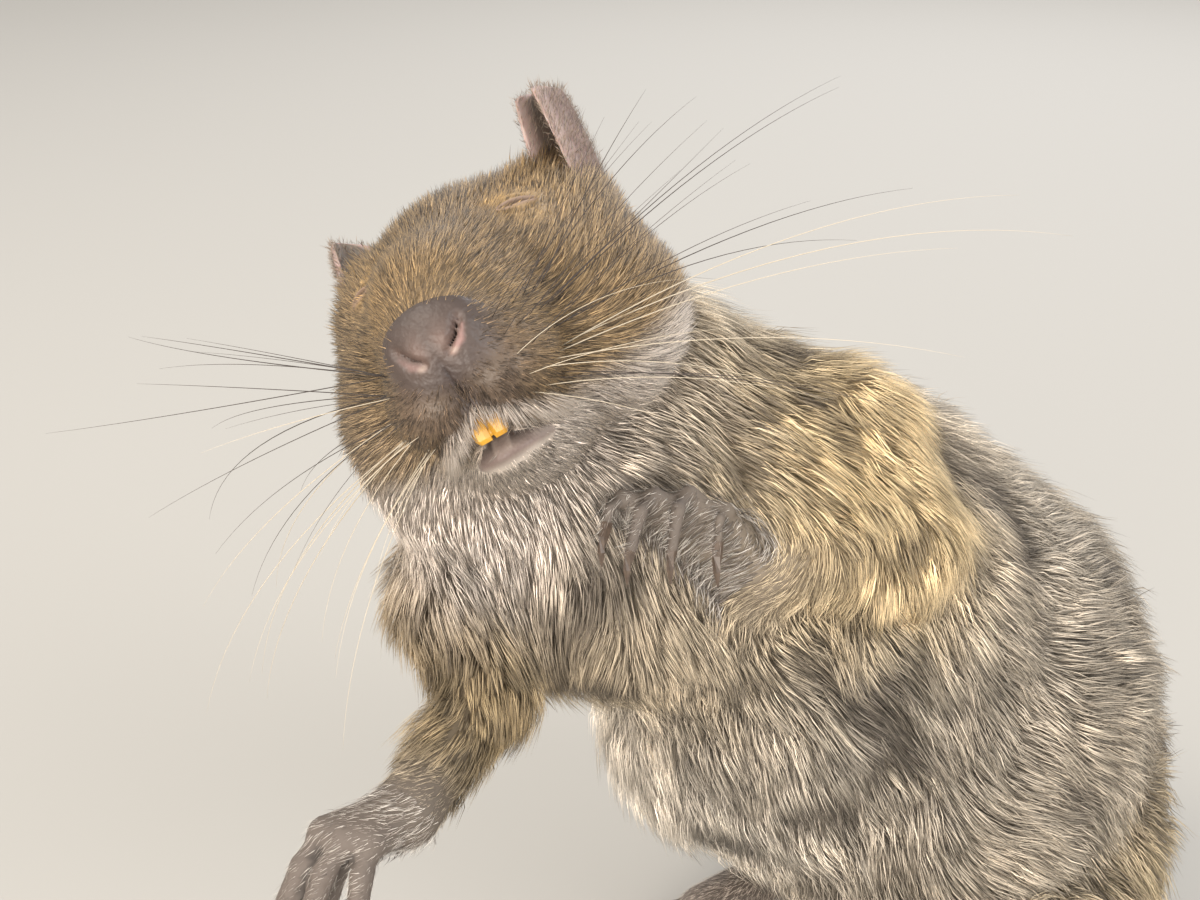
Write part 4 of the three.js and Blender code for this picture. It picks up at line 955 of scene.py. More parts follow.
lid_points, lid_faces = {}, fan_faces(LID_RINGS, LID_AROUND)
for side, (heart, axis, spread, _) in zip(("left", "right"), PATCHES[1:]):
    ways, lengths = fan(heart, axis, spread, LID_RINGS, LID_AROUND, LID_REACH, mirrored(SLIT_WAY, side))
    base = heart + ways * lengths[:, None]
    marks = lid_marks(base, side)
    height = 0.1 + 0.2 * marks["rim"] - 0.22 * marks["fold"] - 1.6 * marks["slit"]
    lid_points[side] = in_head(heart + ways * (lengths + height - patch_rim(ways, axis, spread))[:, None])
    p = lid_points[side]
    c = coat_colour(p, part_fields(p)) * 0.7
    c = mixed(c, linear("#8a7361"), marks["rim"])
    # Painted shade in the lids' slit and, more lightly, in their folds.
    c = mixed(c, linear("#3a2c26"), marks["slit"] + marks["fold"] * 0.3)
    lid = make_mesh(f"lids_{side}", p, lid_faces, leather, c)
    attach(lid, "root")
    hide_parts("head")

# %% [markdown]
# ## Ears
# An ear is a thin leaf of skin rolled into a cup: wide in the middle, narrow at the tip. The grid runs up
# the ear and once round its section, out along the back of the leaf and home along its hollow, with a round
# rim.

# %% Roll the ears
EAR_HEIGHT, EAR_WALL, EAR_ROOT, EAR_SWEEP = 12.0, 0.7, 2.2, 1.4
# Root, way up, way of the hollow, width, depth of the cup, share of the height where the tip begins.
EAR_FOLD = {
    "left": (at(13.4, 27.7, 7.4), at(0.08, 0.32, 0.96), at(-0.36, -0.93, 0.1), 3.9, 10, 0.86),
    "right": (at(12.2, 32.5, 8), at(0.16, 0.72, 0.96), at(-0.8, -0.6, 0.1), 7.8, 4.4, 0.45),
}
EAR_UP_STEPS, EAR_ROUND_STEPS = 60, 96


def ear_grid(side):
    """Points of the rolled leaf, whose half widths follow a bulge that closes at the tip. With them go three
    values each: 1 in the hollow, the share of the height, and the share of the way to the rim."""
    base, up, hollow, width, cup, tip_from = EAR_FOLD[side]
    up = straight(up)
    hollow = straight(hollow - (hollow @ up) * up)
    across = np.cross(up, hollow)
    t = 1 - (1 - np.linspace(0, 1, EAR_UP_STEPS + 1)[:, None]) ** 1.6
    round_trip = np.arange(EAR_ROUND_STEPS)[None] / EAR_ROUND_STEPS
    close = np.sqrt(np.clip(1 - np.clip((t - tip_from) / (1 - tip_from), 0, 1) ** 2.2, 0, 1))
    turn = EAR_SWEEP * close * np.interp(round_trip, [0, 0.5, 1], [-1, 1, -1])
    skin_side = np.clip(np.sin(2 * np.pi * round_trip) * 5, -1, 1)
    half = width / 2 * np.sqrt(1 - 1.1 * (t - 0.1) ** 2)
    deep = cup * (0.88 + 0.12 * np.sin(np.pi * t))
    thick = EAR_WALL * (1 - 0.35 * t) / 2 * skin_side * (0.4 + 0.6 * close)
    rise = -EAR_ROOT + (EAR_HEIGHT + EAR_ROOT) * t + 0 * turn
    points = (base + rise[..., None] * up + (np.sin(turn) * (half + thick))[..., None] * across
              + (-np.cos(turn) * (deep + thick) + deep / 2)[..., None] * hollow)
    inner = (skin_side < 0) + 0 * t
    rim_share = np.abs(np.interp(round_trip, [0, 0.5, 1], [-1, 1, -1])) + 0 * t
    rim_share = np.maximum(rim_share, np.clip((t - 0.9) / 0.1, 0, 1))
    rise_share = t + 0 * turn
    return mirrored(points.reshape(-1, 3), side), inner.ravel(), rise_share.ravel(), rim_share.ravel()


def tube_faces(rings, around):
    """Triangles of a closed tube of rings, with a middle point at each end as its two last points."""
    k, after = np.arange(around), (np.arange(around) + 1) % around
    r = np.arange(rings - 1)[:, None] * around
    a, b = (r + k).ravel(), (r + after).ravel()
    c, d = b + around, a + around
    low, high, last = rings * around, rings * around + 1, (rings - 1) * around
    return np.concatenate([
        np.stack([a, b, c], 1), np.stack([a, c, d], 1),
        np.stack([np.full(around, low), after, k], 1),
        np.stack([np.full(around, high), last + k, last + after], 1)])


def facing_out(points, faces):
    """Turns the faces of a closed surface outwards: its volume must come out positive."""
    a, b, c = (points[faces[:, i]] - points.mean(0) for i in range(3))
    volume = np.einsum("ij,ij->i", a, np.cross(b, c)).sum()
    return faces if volume > 0 else faces[:, ::-1]


# Thin skin lets a little light through. Its faint creases are about 1.1 mm apart, 900 to the metre.
ear_skin = grained("thin_ear_skin", "ShaderNodeTexNoise", "Fac", 0.25, 0.0002, {"Scale": 900, "Detail": 4},
                   Roughness=0.55, Subsurface_Weight=0.2, Subsurface_Scale=0.0005)
ear_sources = {}
for side in ("left", "right"):
    local, inner, rise_share, rim = ear_grid(side)
    local = np.vstack([local, local[:EAR_ROUND_STEPS].mean(0), local[-EAR_ROUND_STEPS:].mean(0)])
    inner, rise_share, rim = (np.append(v, [0, v[-1]]) for v in (inner, rise_share, rim))
    p = in_head(local)
    faces = facing_out(p, tube_faces(EAR_UP_STEPS + 1, EAR_ROUND_STEPS))
    # Painted shade: the hollow of the cup is darker, most towards the tip.
    c = mixed(np.tile(linear("#8a726b"), (len(p), 1)), linear("#6d6258"), inner * (0.6 + 0.4 * rise_share))
    # Painted highlight along the ear's rim and over its tip.
    c = mixed(c, linear("#b29b93"), np.clip((rim - 0.8) / 0.1, 0, 1) * 0.8)
    c = c * (1 + 0.1 * ripple(local, 3))[:, None]
    ear = make_mesh(f"ear_leaf_{side}", p, faces, ear_skin, c)
    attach(ear, "root")
    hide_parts(f"ear_{side}")
    ear_sources[side] = (p, faces, inner)

# %% [markdown]
# ## Hair as solid spindles
# Each hair, or tuft of a few hairs, is a closed spindle: one or two rings of three points, and a point at
# the tip. The short under hairs start at their ring and take 4 triangles. The long guard hairs have a point
# at the root too and take 6, and those of the tail's brush 12. Roots are drawn over the skin so that each
# face gets its share by area, and every hair leans along the lie of the coat.

# %% Where hairs stand
def corner_normals(points, faces):
    """A normal for each point, from the faces round it."""
    a, b, c = (points[faces[:, i]] for i in range(3))
    cross = np.repeat(np.cross(b - a, c - a), 3, 0)
    out = np.stack([np.bincount(faces.ravel(), cross[:, i], len(points)) for i in range(3)], 1)
    return out / np.maximum(size_of(out), 1e-12)[:, None]


def draw_roots(points, faces, density, rng):
    """Roots and normals: as many on each face as its area times the density there."""
    normals = corner_normals(points, faces)
    a, b, c = (points[faces[:, i]] for i in range(3))
    wanted = size_of(np.cross(b - a, c - a)) / 2 * density[faces].mean(1)
    run = np.cumsum(wanted)
    count = int(run[-1])
    face = np.searchsorted(run, (np.arange(count) + rng.random(count)) / count * run[-1])
    face = np.minimum(face, len(faces) - 1)
    u, v = rng.random(count), rng.random(count)
    over = u + v > 1
    u, v = np.where(over, 1 - u, u)[:, None], np.where(over, 1 - v, v)[:, None]
    corners = faces[face]
    root = points[corners[:, 0]] * (1 - u - v) + points[corners[:, 1]] * u + points[corners[:, 2]] * v
    normal = normals[corners[:, 0]] * (1 - u - v) + normals[corners[:, 1]] * u + normals[corners[:, 2]] * v
    return root, normal / size_of(normal)[:, None]


def unit(v):
    return v / np.maximum(size_of(v), 1e-9)[:, None]


# %% [markdown]
# The lie of the coat follows the bones: back over the head from the nose, down the neck and spine, out
# along the arms to the fingers, and down the legs to the toes. A slow swirl keeps it from looking combed.

# %% Which way hairs lie
def way(a, b):
    return straight(b - a)


LIE = {"neck": way(OCCIPUT, WITHERS), "throat": at(0.15, 0.1, -1), "chest": at(0.1, 0.15, -1),
       "ribs": at(0, 0.6, -0.8), "belly": at(0, 0.4, -0.9), "rump": at(0, 0.85, -0.5)}
for side, arm in ARMS.items():
    LIE[f"upper_{side}"] = way(arm["shoulder"][0], arm["elbow"][0])
    LIE[f"fore_{side}"] = way(arm["elbow"][0], arm["wrist"][0])
    LIE[f"hand_{side}"] = way(arm["wrist"][0], arm["digits"][1][1])
    LIE[f"thigh_{side}"] = mirrored(at(0.25, -0.35, -0.9), side)
    LIE[f"shank_{side}"] = mirrored(way(KNEE, HEEL), side) + at(0, 0, -0.3)
    LIE[f"foot_{side}"] = at(0, -1, -0.1)
SLEEK_PARTS = [i for i, kind in enumerate(FAMILY) if kind in ("head", "hand", "foot", "tail")]
lie_rows = np.stack([LIE.get(name, at(0, 0, 0)) for name in PARTS])
tail_ways = unit(np.gradient(tail_points, axis=0))


def lie_of_coat(p, normal, columns):
    """The hair's direction along the skin at each root."""
    weights = part_weights(columns, 4)
    way_here = weights @ lie_rows
    q = to_head(p)
    back = unit(at(0, 1, 0) + 0.07 * (q - at(0, 10, -2)) * at(1, 0.2, 1))
    near_nose = np.clip(1.25 - size_of(q - at(0, 1, -2)) / 11, 0, 1)[:, None]
    outwards = 0.9 * unit((q - at(0, 0, -1.5)) * at(1, 0, 1)) + at(0, 0.45, 0)
    way_here += weights[:, :1] * ((back * (1 - near_nose) + outwards * near_nose) @ HEAD_TURN)
    on_tail = weights[:, -1] > 0.02
    if on_tail.any():
        near = np.linalg.norm(p[on_tail][:, None] - tail_points[None], axis=2).argmin(1)
        way_here[on_tail] += weights[on_tail, -1:] * tail_ways[near]
    flat = unit(way_here - np.einsum("ij,ij->i", way_here, normal)[:, None] * normal)
    side = np.cross(normal, flat)
    loose = 1 - weights[:, SLEEK_PARTS].sum(1)
    turn = 0.42 * ripple(p, 21, 2) + 0.2 * ripple(p, 7) + 0.34 * loose * ripple(p, 4.6, 4)
    return unit(flat * np.cos(turn)[:, None] + side * np.sin(turn)[:, None])


# %% [markdown]
# The hair's colour runs along it: slate at the root, the coat's colour in the middle and paler at the tip,
# except for the ticked hairs with their dark ends. The bake map puts each hair at its root's place on an
# unwrap of the skin: every part of the body is unrolled round its own bone into a cell of its own.

# %% Grow hairs
PART_BONES = {
    "head": (in_head(at(0, 0, -3)), in_head(at(0, 36, -1))), "neck": (WITHERS, OCCIPUT),
    "throat": (CHEST, THROAT), "chest": (CHEST, THROAT), "ribs": (RIBS, WITHERS), "belly": (BELLY, RIBS),
    "rump": (RUMP, BELLY), "tail": (TAIL[0], TAIL[-1]),
}
for side, arm in ARMS.items():
    PART_BONES[f"upper_{side}"] = (arm["shoulder"][0], arm["elbow"][0])
    PART_BONES[f"fore_{side}"] = (arm["elbow"][0], arm["wrist"][0])
    PART_BONES[f"hand_{side}"] = (arm["wrist"][0], arm["digits"][1][2])
    PART_BONES[f"thigh_{side}"] = (mirrored(HIP, side), mirrored(KNEE, side))
    PART_BONES[f"shank_{side}"] = (mirrored(KNEE, side), mirrored(HEEL, side))
    PART_BONES[f"foot_{side}"] = (mirrored(HEEL_PAD, side), mirrored(at(27, -3, 3), side))
MAP_COLUMNS, MAP_ROWS, HAIR_PATCH = 5, 4, 0.003


def place_on_map(root, part):
    """Place of each root on the unwrap: its part's cell, then the angle round its bone and the way along."""
    start = np.stack([PART_BONES[name][0] for name in PARTS])[part]
    bone = np.stack([PART_BONES[name][1] - PART_BONES[name][0] for name in PARTS])[part]
    long = size_of(bone)[:, None]
    bone = bone / long
    side = unit(np.cross(bone, np.where(np.abs(bone[:, :1]) < 0.8, at(1, 0, 0), at(0, 1, 0))))
    v = root - start
    along = (np.einsum("ij,ij->i", v, bone) / long[:, 0] + 1) / 3
    angle = np.arctan2(np.einsum("ij,ij->i", v, np.cross(bone, side)), np.einsum("ij,ij->i", v, side))
    inside = np.stack([angle / (2 * np.pi) + 0.5, along], 1).clip(0, 1) * 0.96 + 0.02
    return (np.stack([part % MAP_COLUMNS, part // MAP_COLUMNS], 1) + inside) / (MAP_COLUMNS, MAP_ROWS)


def spindles(root, rings, tip, side, up, width, colours, map_place):
    """Closed hairs: points, triangles, colours, map places. Without a root point they start at the ring."""
    half, high = width[:, None] / 2 * side, width[:, None] * 0.3 * up
    rows, tints, places = [], [], []
    if root is not None:
        rows, tints, places = [root], [colours[0]], [(0, 0)]
    for n, ring in enumerate(rings):
        shrink = 1 if n == 0 else 0.8
        rows += [ring + half * shrink, ring + high * shrink, ring - half * shrink]
        tints += [colours[n + (root is not None)]] * 3
        places += [(0.5, 0), (0, 0.5), (-0.5, 0)]
    rows.append(tip)
    tints.append(colours[-1])
    places.append((0, -0.5))
    per, first = len(rows), int(root is not None)
    last = per - 1
    faces = [(0, 2, 1), (0, 3, 2), (0, 1, 3)] if first else [(0, 2, 1)]
    for a in range(first, last - 3, 3):
        faces += [(a, a + 1, a + 4), (a, a + 4, a + 3), (a + 1, a + 2, a + 5)]
        faces += [(a + 1, a + 5, a + 4), (a + 2, a, a + 3), (a + 2, a + 3, a + 5)]
    faces += [(last - 3, last - 2, last), (last - 2, last - 1, last), (last - 1, last - 3, last)]
    points = np.stack(rows, 1).reshape(-1, 3)
    triangles = (np.arange(len(tip))[:, None, None] * per + np.array(faces)[None]).reshape(-1, 3)
    tint = np.stack(tints, 1).reshape(-1, 3)
    spot = (map_place[:, None] + np.array(places)[None] * HAIR_PATCH).reshape(-1, 2)
    return points, triangles, tint, spot


# Hair is smooth keratin, which gives it a soft gloss along its length. Each hair has its own tint.
hair, hair_tree, hair_shader = new_material("keratin_hair", Roughness=0.6, IOR=1.55)
hair_tint = add_node(hair_tree, "ShaderNodeAttribute", {"attribute_name": "Tint"})
hair_tree.links.new(hair_tint.outputs["Color"], hair_shader.inputs["Base Color"])


def coat_piece(name, root, rings, tip, normal, lie, width, colours, part):
    """A coat object from hairs, with its bake map."""
    side = unit(np.cross(normal, lie))
    map_place = place_on_map(rings[0], part)
    points, faces, tint, spot = spindles(root, rings, tip, side, normal, width, colours, map_place)
    made = make_mesh(name, points, faces, hair, tint)
    made.data.uv_layers.new(name="OFBake").data.foreach_set("uv", spot[faces].astype(np.float32).ravel())
    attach(made, "root")
    return made


def lock_of(root, size):
    """The number of the lock each root belongs to. Locks are cells of a grid that a slow noise bends."""
    bent = root + size * 0.9 * np.stack([ripple(root, size * 2.6, i) for i in range(3)], 1)
    cell = np.floor(bent / size).astype(np.int64) + 500
    return np.unique((cell[:, 0] * 1000 + cell[:, 1]) * 1000 + cell[:, 2], return_inverse=True)[1]


def clump(root, points, size, share):
    """Draws points towards the mean of their lock."""
    lock = lock_of(root, size)
    members = np.bincount(lock)
    middle = np.stack([np.bincount(lock, points[:, i]) / members for i in range(3)], 1)[lock]
    return points + (middle - points) * share[:, None]


def by_lock(root, size, rng):
    """A chance value with mean 0 and spread 1 that all roots of a lock share."""
    lock = lock_of(root, size)
    return rng.normal(size=lock.max() + 1)[lock]


# %% [markdown]
# Now the coat itself. Roots are drawn over the skin and over the fine patches, the table gives each hair
# its size, and a tip that would end inside another part of the body is lifted out of it. On the trunk the
# hairs draw together in locks with dark gaps between them, and on the face they hardly do.

# %% Draw all roots
rng = np.random.default_rng(20)
MUZZLE_DENSITY, LID_DENSITY, PATCH_EDGE, SOLE_HEIGHT = 25.0, 22.0, 4.9, 1.6
WHISKER_HEART, WHISKER_REACH = at(0, 11, -4), 14
whisker_rows = [(sign, row, n / 5)
                for sign in (1, -1) for row in range(5) for n in range(6 if row < 4 else 4)]
whisker_spots = np.array([
    ((4.6 + 2.9 * back) * sign, 2.6 + 8 * back, -0.9 - 1.65 * row + 0.5 * back)
    for sign, row, back in whisker_rows])
out_ways = unit(whisker_spots - WHISKER_HEART)
whisker_reach = cast(lambda q: skin_field(in_head(q)), WHISKER_HEART, out_ways, WHISKER_REACH)
whisker_roots = in_head(WHISKER_HEART + out_ways * (whisker_reach - 0.1)[:, None])


def triangles_of(squares):
    return np.concatenate([squares[:, [0, 1, 2]], squares[:, [0, 2, 3]]])


def furred_places(p):
    """1 where the coat grows on the skin, 0 on the soles and where a patch covers the skin."""
    q = to_head(p)
    grows = (p[:, 2] > SOLE_HEIGHT).astype(float)
    return grows * (well(q) < 0.02)


skin_values = coat_values(skin_points, skin_columns)
skin_density = skin_values[:, 4] * furred_places(skin_points)
sources = [draw_roots(skin_points, triangles_of(skin_squares), skin_density, rng)]
marks = muzzle_marks(muzzle_base)
covers = off_axis(to_head(muzzle_points), MUZZLE_HEART, MUZZLE_AXIS) < PATCHES[0][2] - PATCH_EDGE
muzzle_grows = np.clip((marks["edge"] + 1.6) / 2.4, 0, 1) * (1 - marks["gap"]) * (1 - marks["lip"]) ** 3
muzzle_grows *= (1 - marks["line"]) * (1 + 1.2 * marks["fringe"])
sources.append(draw_roots(muzzle_points, muzzle_faces, MUZZLE_DENSITY * muzzle_grows * covers, rng))
for side, (heart, axis, spread, _) in zip(("left", "right"), PATCHES[1:]):
    q = to_head(lid_points[side])
    marks = lid_marks(q, side)
    grows = (off_axis(q, heart, axis) < spread - PATCH_EDGE) * (marks["rim"] < 0.3)
    sources.append(draw_roots(lid_points[side], lid_faces, LID_DENSITY * grows, rng))
roots = np.concatenate([s[0] for s in sources])
normals = np.concatenate([s[1] for s in sources])
print("hairs:", len(roots))

# %% Size, bend and colour them
columns = part_fields(roots)
values = coat_values(roots, columns)
weights = part_weights(columns)
part = columns.argmin(1)
lie = lie_of_coat(roots, normals, columns)
lie = unit(lie + np.cross(normals, lie) * rng.normal(0, 0.2, len(roots))[:, None])
from_head = to_head(roots)
GUARD_SHARE = dict(ribs=0.4, belly=0.45, rump=0.35, upper=0.55, fore=0.35, chest=0.55, throat=0.4, neck=0.45,
                   thigh=0.35, shank=0.3)
guard_share = weights @ np.array([GUARD_SHARE.get(name, 0) for name in FAMILY])
parting_and_shade = parted_and_shaded(roots, columns)
guard = rng.random(len(roots)) < guard_share * (1 - parting_and_shade)
loose = 1 - weights[:, SLEEK_PARTS].sum(1)

length = values[:, 1] * rng.uniform(0.7, 1.15, len(roots)) * np.where(guard | (guard_share < 0.05), 1, 0.7)
length *= 1 - 0.45 * parting_and_shade
HANDS = [PARTS.index(name) for name in ("hand_left", "hand_right")]
on_hand = np.isin(part, HANDS)
length *= np.where(on_hand, 1, np.clip(columns[:, HANDS].min(1) / 3, 0.8, 1))
near_eye = np.min([size_of(from_head - mirrored(EYE, side)) for side in ("left", "right")], 0)
length *= np.clip(0.3 + (near_eye - 3.4) / 5, 0.3, 1)
near_ear = np.min([size_of(from_head - mirrored(at(10.5, 29, 10), side)) for side in ("left", "right")], 0)
length *= 1 + 0.7 * np.clip(1.6 - near_ear / 3.5, 0, 1)
fringe = np.concatenate([np.zeros(len(sources[0][0]))]
                        + [muzzle_marks(to_head(sources[1][0]))["fringe"]]
                        + [np.zeros(len(s[0])) for s in sources[2:]])
length *= 1 + 1.1 * fringe
near_whisker = np.full(len(roots), 9.0)
on_pads = np.flatnonzero(size_of(from_head - at(0, 6, -4)) < 13)
near_whisker[on_pads] = np.min([size_of(roots[on_pads] - spot) for spot in whisker_roots], 0)
lift = np.radians(values[:, 3] * rng.uniform(0.5, 1.5, len(roots)))
lift += np.where(guard, 0.05, -0.04) + 0.3 * np.clip(1.6 - near_ear / 3.5, 0, 1)
lift += 0.5 * fringe
lift = np.maximum(lift + 0.1 * loose * by_lock(roots, 3.4, rng), 0.12)
length *= np.exp(0.13 * loose * by_lock(roots, 3.4, rng))


def leaning(angle):
    return np.cos(angle)[:, None] * lie + np.sin(angle)[:, None] * normals


ROOT_DEPTH, HAIR_FLOOR = 0.2, 0.3
base = roots - ROOT_DEPTH * normals
middle = base + leaning(lift + 0.24) * length[:, None] * 0.42
tip = middle + leaning(lift - 0.16) * length[:, None] * 0.58
shaggy = weights @ np.isin(FAMILY, ("chest", "throat", "upper", "belly"))
for size, share in ((1.1, 0.3 + 0 * loose), (2.8, 0.42 * loose), (7.0, 0.26 * shaggy)):
    tip = clump(roots, tip, size, share)
    middle = clump(roots, middle, size, share * 0.4)
tip_columns = in_pieces(part_fields, tip)
over_hand = (tip_columns[:, HANDS].min(1) < 1.3) & ~on_hand
shrink = np.where(over_hand, 0.75, 1)[:, None]
tip, middle = base + (tip - base) * shrink, base + (middle - base) * shrink
clear = in_pieces(skin_field, tip)
tip += np.maximum(np.maximum(0.25 * length * np.sin(lift), 0.15) * shrink[:, 0] - clear, 0)[:, None] * normals
middle += np.maximum(0.1 - in_pieces(skin_field, middle), 0)[:, None] * normals
tip[:, 2], middle[:, 2] = np.maximum(tip[:, 2], HAIR_FLOOR), np.maximum(middle[:, 2], HAIR_FLOOR)
width = values[:, 2] * rng.uniform(0.7, 1.3, len(roots)) * np.where(guard, 0.95, 1.1)

tone = coat_colour(roots, columns) * np.exp(rng.normal(0, 0.34 - 0.16 * loose, len(roots)))[:, None]
tone *= np.exp(0.24 * loose * by_lock(roots, 2.8, rng))[:, None]
hand_tone = np.tile(linear("#7d726a"), (len(roots), 1))
hand_tone = mixed(hand_tone, linear("#efe8de"), rng.random(len(roots)) ** 1.5)
tone = np.where(on_hand[:, None], hand_tone, tone)
tone = mixed(tone, CHIN_PALE, fringe * 0.8)
tone = mixed(tone, TICK, np.clip(1.5 - near_whisker / 0.35, 0, 1) * 0.85)
TICK_SHARE = dict(head=0.3, neck=0.2, ribs=0.3, rump=0.3, thigh=0.2, tail=0.5, upper=0.12)
tick_share = weights @ np.array([TICK_SHARE.get(name, 0.08) for name in FAMILY]) * (1 - fringe)
draw = rng.random(len(roots))
ticked = (draw < tick_share)[:, None]
pale = (draw > 0.72)[:, None]
under = (loose * ~guard)[:, None]
fair = np.clip(weights[:, 2] + weights[:, 0] * np.clip((-from_head[:, 2] - 8.4) / 2.4, 0, 1), 0, 1)
dark_lock = loose * (1 - fair) * np.clip(by_lock(roots, 4.2, rng) - 0.8, 0, 1)
dark_lock *= 1 - 0.7 * weights[:, PARTS.index("belly")]
slate_share = loose * (1 - fair) * 0.4
root_tone = mixed(tone * (0.55 + 0.3 * fair)[:, None], SLATE, 0.12 * (1 - fair) + slate_share)
# Where the coat parts, and in the spots of painted shade, the middle and tip of each hair turn slate.
mid_tone = mixed(np.where(ticked, tone * 0.6, tone), SLATE,
                 0.1 * slate_share + 0.75 * np.maximum(parting_and_shade, dark_lock))
brighter = np.minimum(np.where(pale, 1.5, 1.15), 0.88 / tone.max(1, keepdims=True))
tip_tone = np.where(ticked, TICK + 0 * tone, tone * brighter)
tip_tone = mixed(tip_tone * (1 - 0.15 * under), SLATE, 0.75 * parting_and_shade + 0.5 * dark_lock)

# %% Make the coat's pieces
MOST_HAIRS = {"under": 48_000, "guard": 32_000}
GROUPS = {
    "face": ["head"], "ruff": ["neck", "throat", "chest"], "trunk": ["ribs", "belly", "rump"],
    "arms": ["upper", "fore"], "hands": ["hand", "foot"], "legs": ["thigh", "shank"], "tail": ["tail"],
}
family = np.array(FAMILY)[part]
brush_starts = np.linalg.norm(roots[:, None] - tail_points[None, -6:], axis=2).min(1) < 6
for group, names in GROUPS.items():
    for kind in ("under", "guard"):
        chosen = np.flatnonzero(np.isin(family, names) & (guard == (kind == "guard")) & ~brush_starts)
        if not len(chosen):
            continue
        chosen = chosen[np.argsort(part[chosen] * 1000 + roots[chosen, 0], kind="stable")]
        shares = np.array_split(chosen, len(chosen) // MOST_HAIRS[kind] + 1)
        for n, one in enumerate(shares, 1):
            if kind == "under":
                root, rings = None, [base[one]]
                colours = [root_tone[one] * 0.5 + mid_tone[one] * 0.4, tip_tone[one]]
            else:
                root, rings = base[one], [middle[one]]
                colours = [root_tone[one], mid_tone[one], tip_tone[one]]
            coat_piece(f"coat_{group}_{kind}_{n}", root, rings, tip[one], normals[one], lie[one], width[one],
                       colours, part[one])

# %% [markdown]
# ## Ear hair, tail brush and whiskers
# The ears carry a down of very short hairs. The tail ends in a brush of long black hairs that stand out
# from it. Whiskers are the longest hairs of all: round, stiff and tapering, set in rows on the cheeks
# beside the nose.

# %% Ear down
HOLLOW_DOWN, BACK_DOWN = 6.0, 17.0
for side, (p, faces, inner) in ear_sources.items():
    down_root, down_normal = draw_roots(p, faces, np.where(inner > 0.5, HOLLOW_DOWN, BACK_DOWN), rng)
    count = len(down_root)
    up = unit((mirrored(EAR_FOLD[side][1], side) @ HEAD_TURN)[None])
    rise = np.einsum("ij,ij->i", np.repeat(up, count, 0), down_normal)[:, None]
    down_lie = unit(up - rise * down_normal + 0.35 * rng.normal(size=(count, 3)))
    down_length = rng.uniform(0.6, 1.4, count)[:, None]
    down_middle = down_root + down_length * 0.5 * (0.9 * down_lie + 0.42 * down_normal)
    down_tip = down_middle + down_length * 0.5 * (0.95 * down_lie + 0.25 * down_normal)
    down_tone = mixed(np.tile(linear("#9d8a78"), (count, 1)), linear("#4a3c33"), rng.random(count) ** 1.5)
    down_width = rng.uniform(0.04, 0.07, count)
    down_tones = [down_tone * 0.8, down_tone, down_tone * 1.2]
    coat_piece(f"coat_ear_{side}", down_root - 0.1 * down_normal, [down_middle], down_tip, down_normal,
               down_lie, down_width, down_tones, np.zeros(count, int))

# %% Tail brush
BRUSH_HAIRS = 5200
brush_way = straight(unit(np.diff(tail_points, axis=0)[-1:])[0] * at(1, 1, 0))
BRUSH_START, BRUSH_PAST = 22, 9
share = rng.random(BRUSH_HAIRS) ** 0.8
along = np.interp(share, [0, 1], [-BRUSH_START, BRUSH_PAST])
core_t = np.clip((along + BRUSH_START) / (BRUSH_START + BRUSH_PAST), 0, 1)
near = np.clip((along + BRUSH_START) / BRUSH_START, 0, 1)
tail_step = tail_run[-1] / (TAIL_STEPS - 1)
on_path = np.clip(TAIL_STEPS - 1 + np.minimum(along, 0) / tail_step, 0, TAIL_STEPS - 1)
floor_index = np.minimum(on_path.astype(int), TAIL_STEPS - 2)
blend_share = (on_path - floor_index)[:, None]
centre = tail_points[floor_index] * (1 - blend_share) + tail_points[floor_index + 1] * blend_share
centre = centre + np.maximum(along, 0)[:, None] * brush_way
local_way = unit(tail_ways[floor_index] * (1 - near[:, None]) + brush_way * near[:, None])
around = rng.random(BRUSH_HAIRS) * 2 * np.pi
local_side = unit(np.cross(at(0, 0, 1), local_way))
outward = np.cos(around)[:, None] * local_side + np.sin(around)[:, None] * at(0, 0, 1)
radius = np.where(along < 0, 1.7, 1.7 * (1 - along / 12))
brush_root = centre + outward * radius[:, None]
brush_long = (4 + 9 * core_t + 3 * core_t**2) * rng.uniform(0.7, 1.1, BRUSH_HAIRS)
brush_lift = np.radians(rng.uniform(10, 30, BRUSH_HAIRS))
brush_lift *= np.where(outward[:, 2] < 0, 0.5, 1)
flow = np.cos(brush_lift)[:, None] * local_way + np.sin(brush_lift)[:, None] * outward
brush_first = brush_root + flow * brush_long[:, None] * 0.3
brush_second = brush_root + flow * brush_long[:, None] * 0.68 + local_way * 0.1
brush_tip = brush_root + (flow * 0.97 + local_way * 0.1 - at(0, 0, 0.05)) * brush_long[:, None]
for size, part_share in ((1.6, 0.3), (3.5, 0.3)):
    brush_tip = clump(brush_root, brush_tip, size, np.full(BRUSH_HAIRS, part_share))
for points in (brush_root, brush_first, brush_second, brush_tip):
    points[:, 2] = np.maximum(points[:, 2], HAIR_FLOOR)
dark = mixed(np.tile(linear("#2a211c"), (BRUSH_HAIRS, 1)), linear("#6b5a49"),
             np.clip(0.55 - core_t * 1.2 + rng.normal(0, 0.12, BRUSH_HAIRS), 0, 1))
brush = coat_piece("coat_brush", brush_root, [brush_first, brush_second], brush_tip, outward, local_way,
                   rng.uniform(0.18, 0.3, BRUSH_HAIRS), [dark * 0.8, dark, dark, dark * 1.1],
                   np.full(BRUSH_HAIRS, len(PARTS) - 1))
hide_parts("tail_brush")

# %% Whiskers
VISUAL_ROOM = 8.0
box_low = np.array(cad_box[0]) / MM - VISUAL_ROOM
box_high = np.array(cad_box[1]) / MM + VISUAL_ROOM
box_low[2], box_high[2] = 0.4, cad_box[1][2] / MM + 1.5
WHISKER_STEPS, WHISKER_SIDES = 18, 6
WHISKER_HEX = ("#2c221c", "#aca08c")


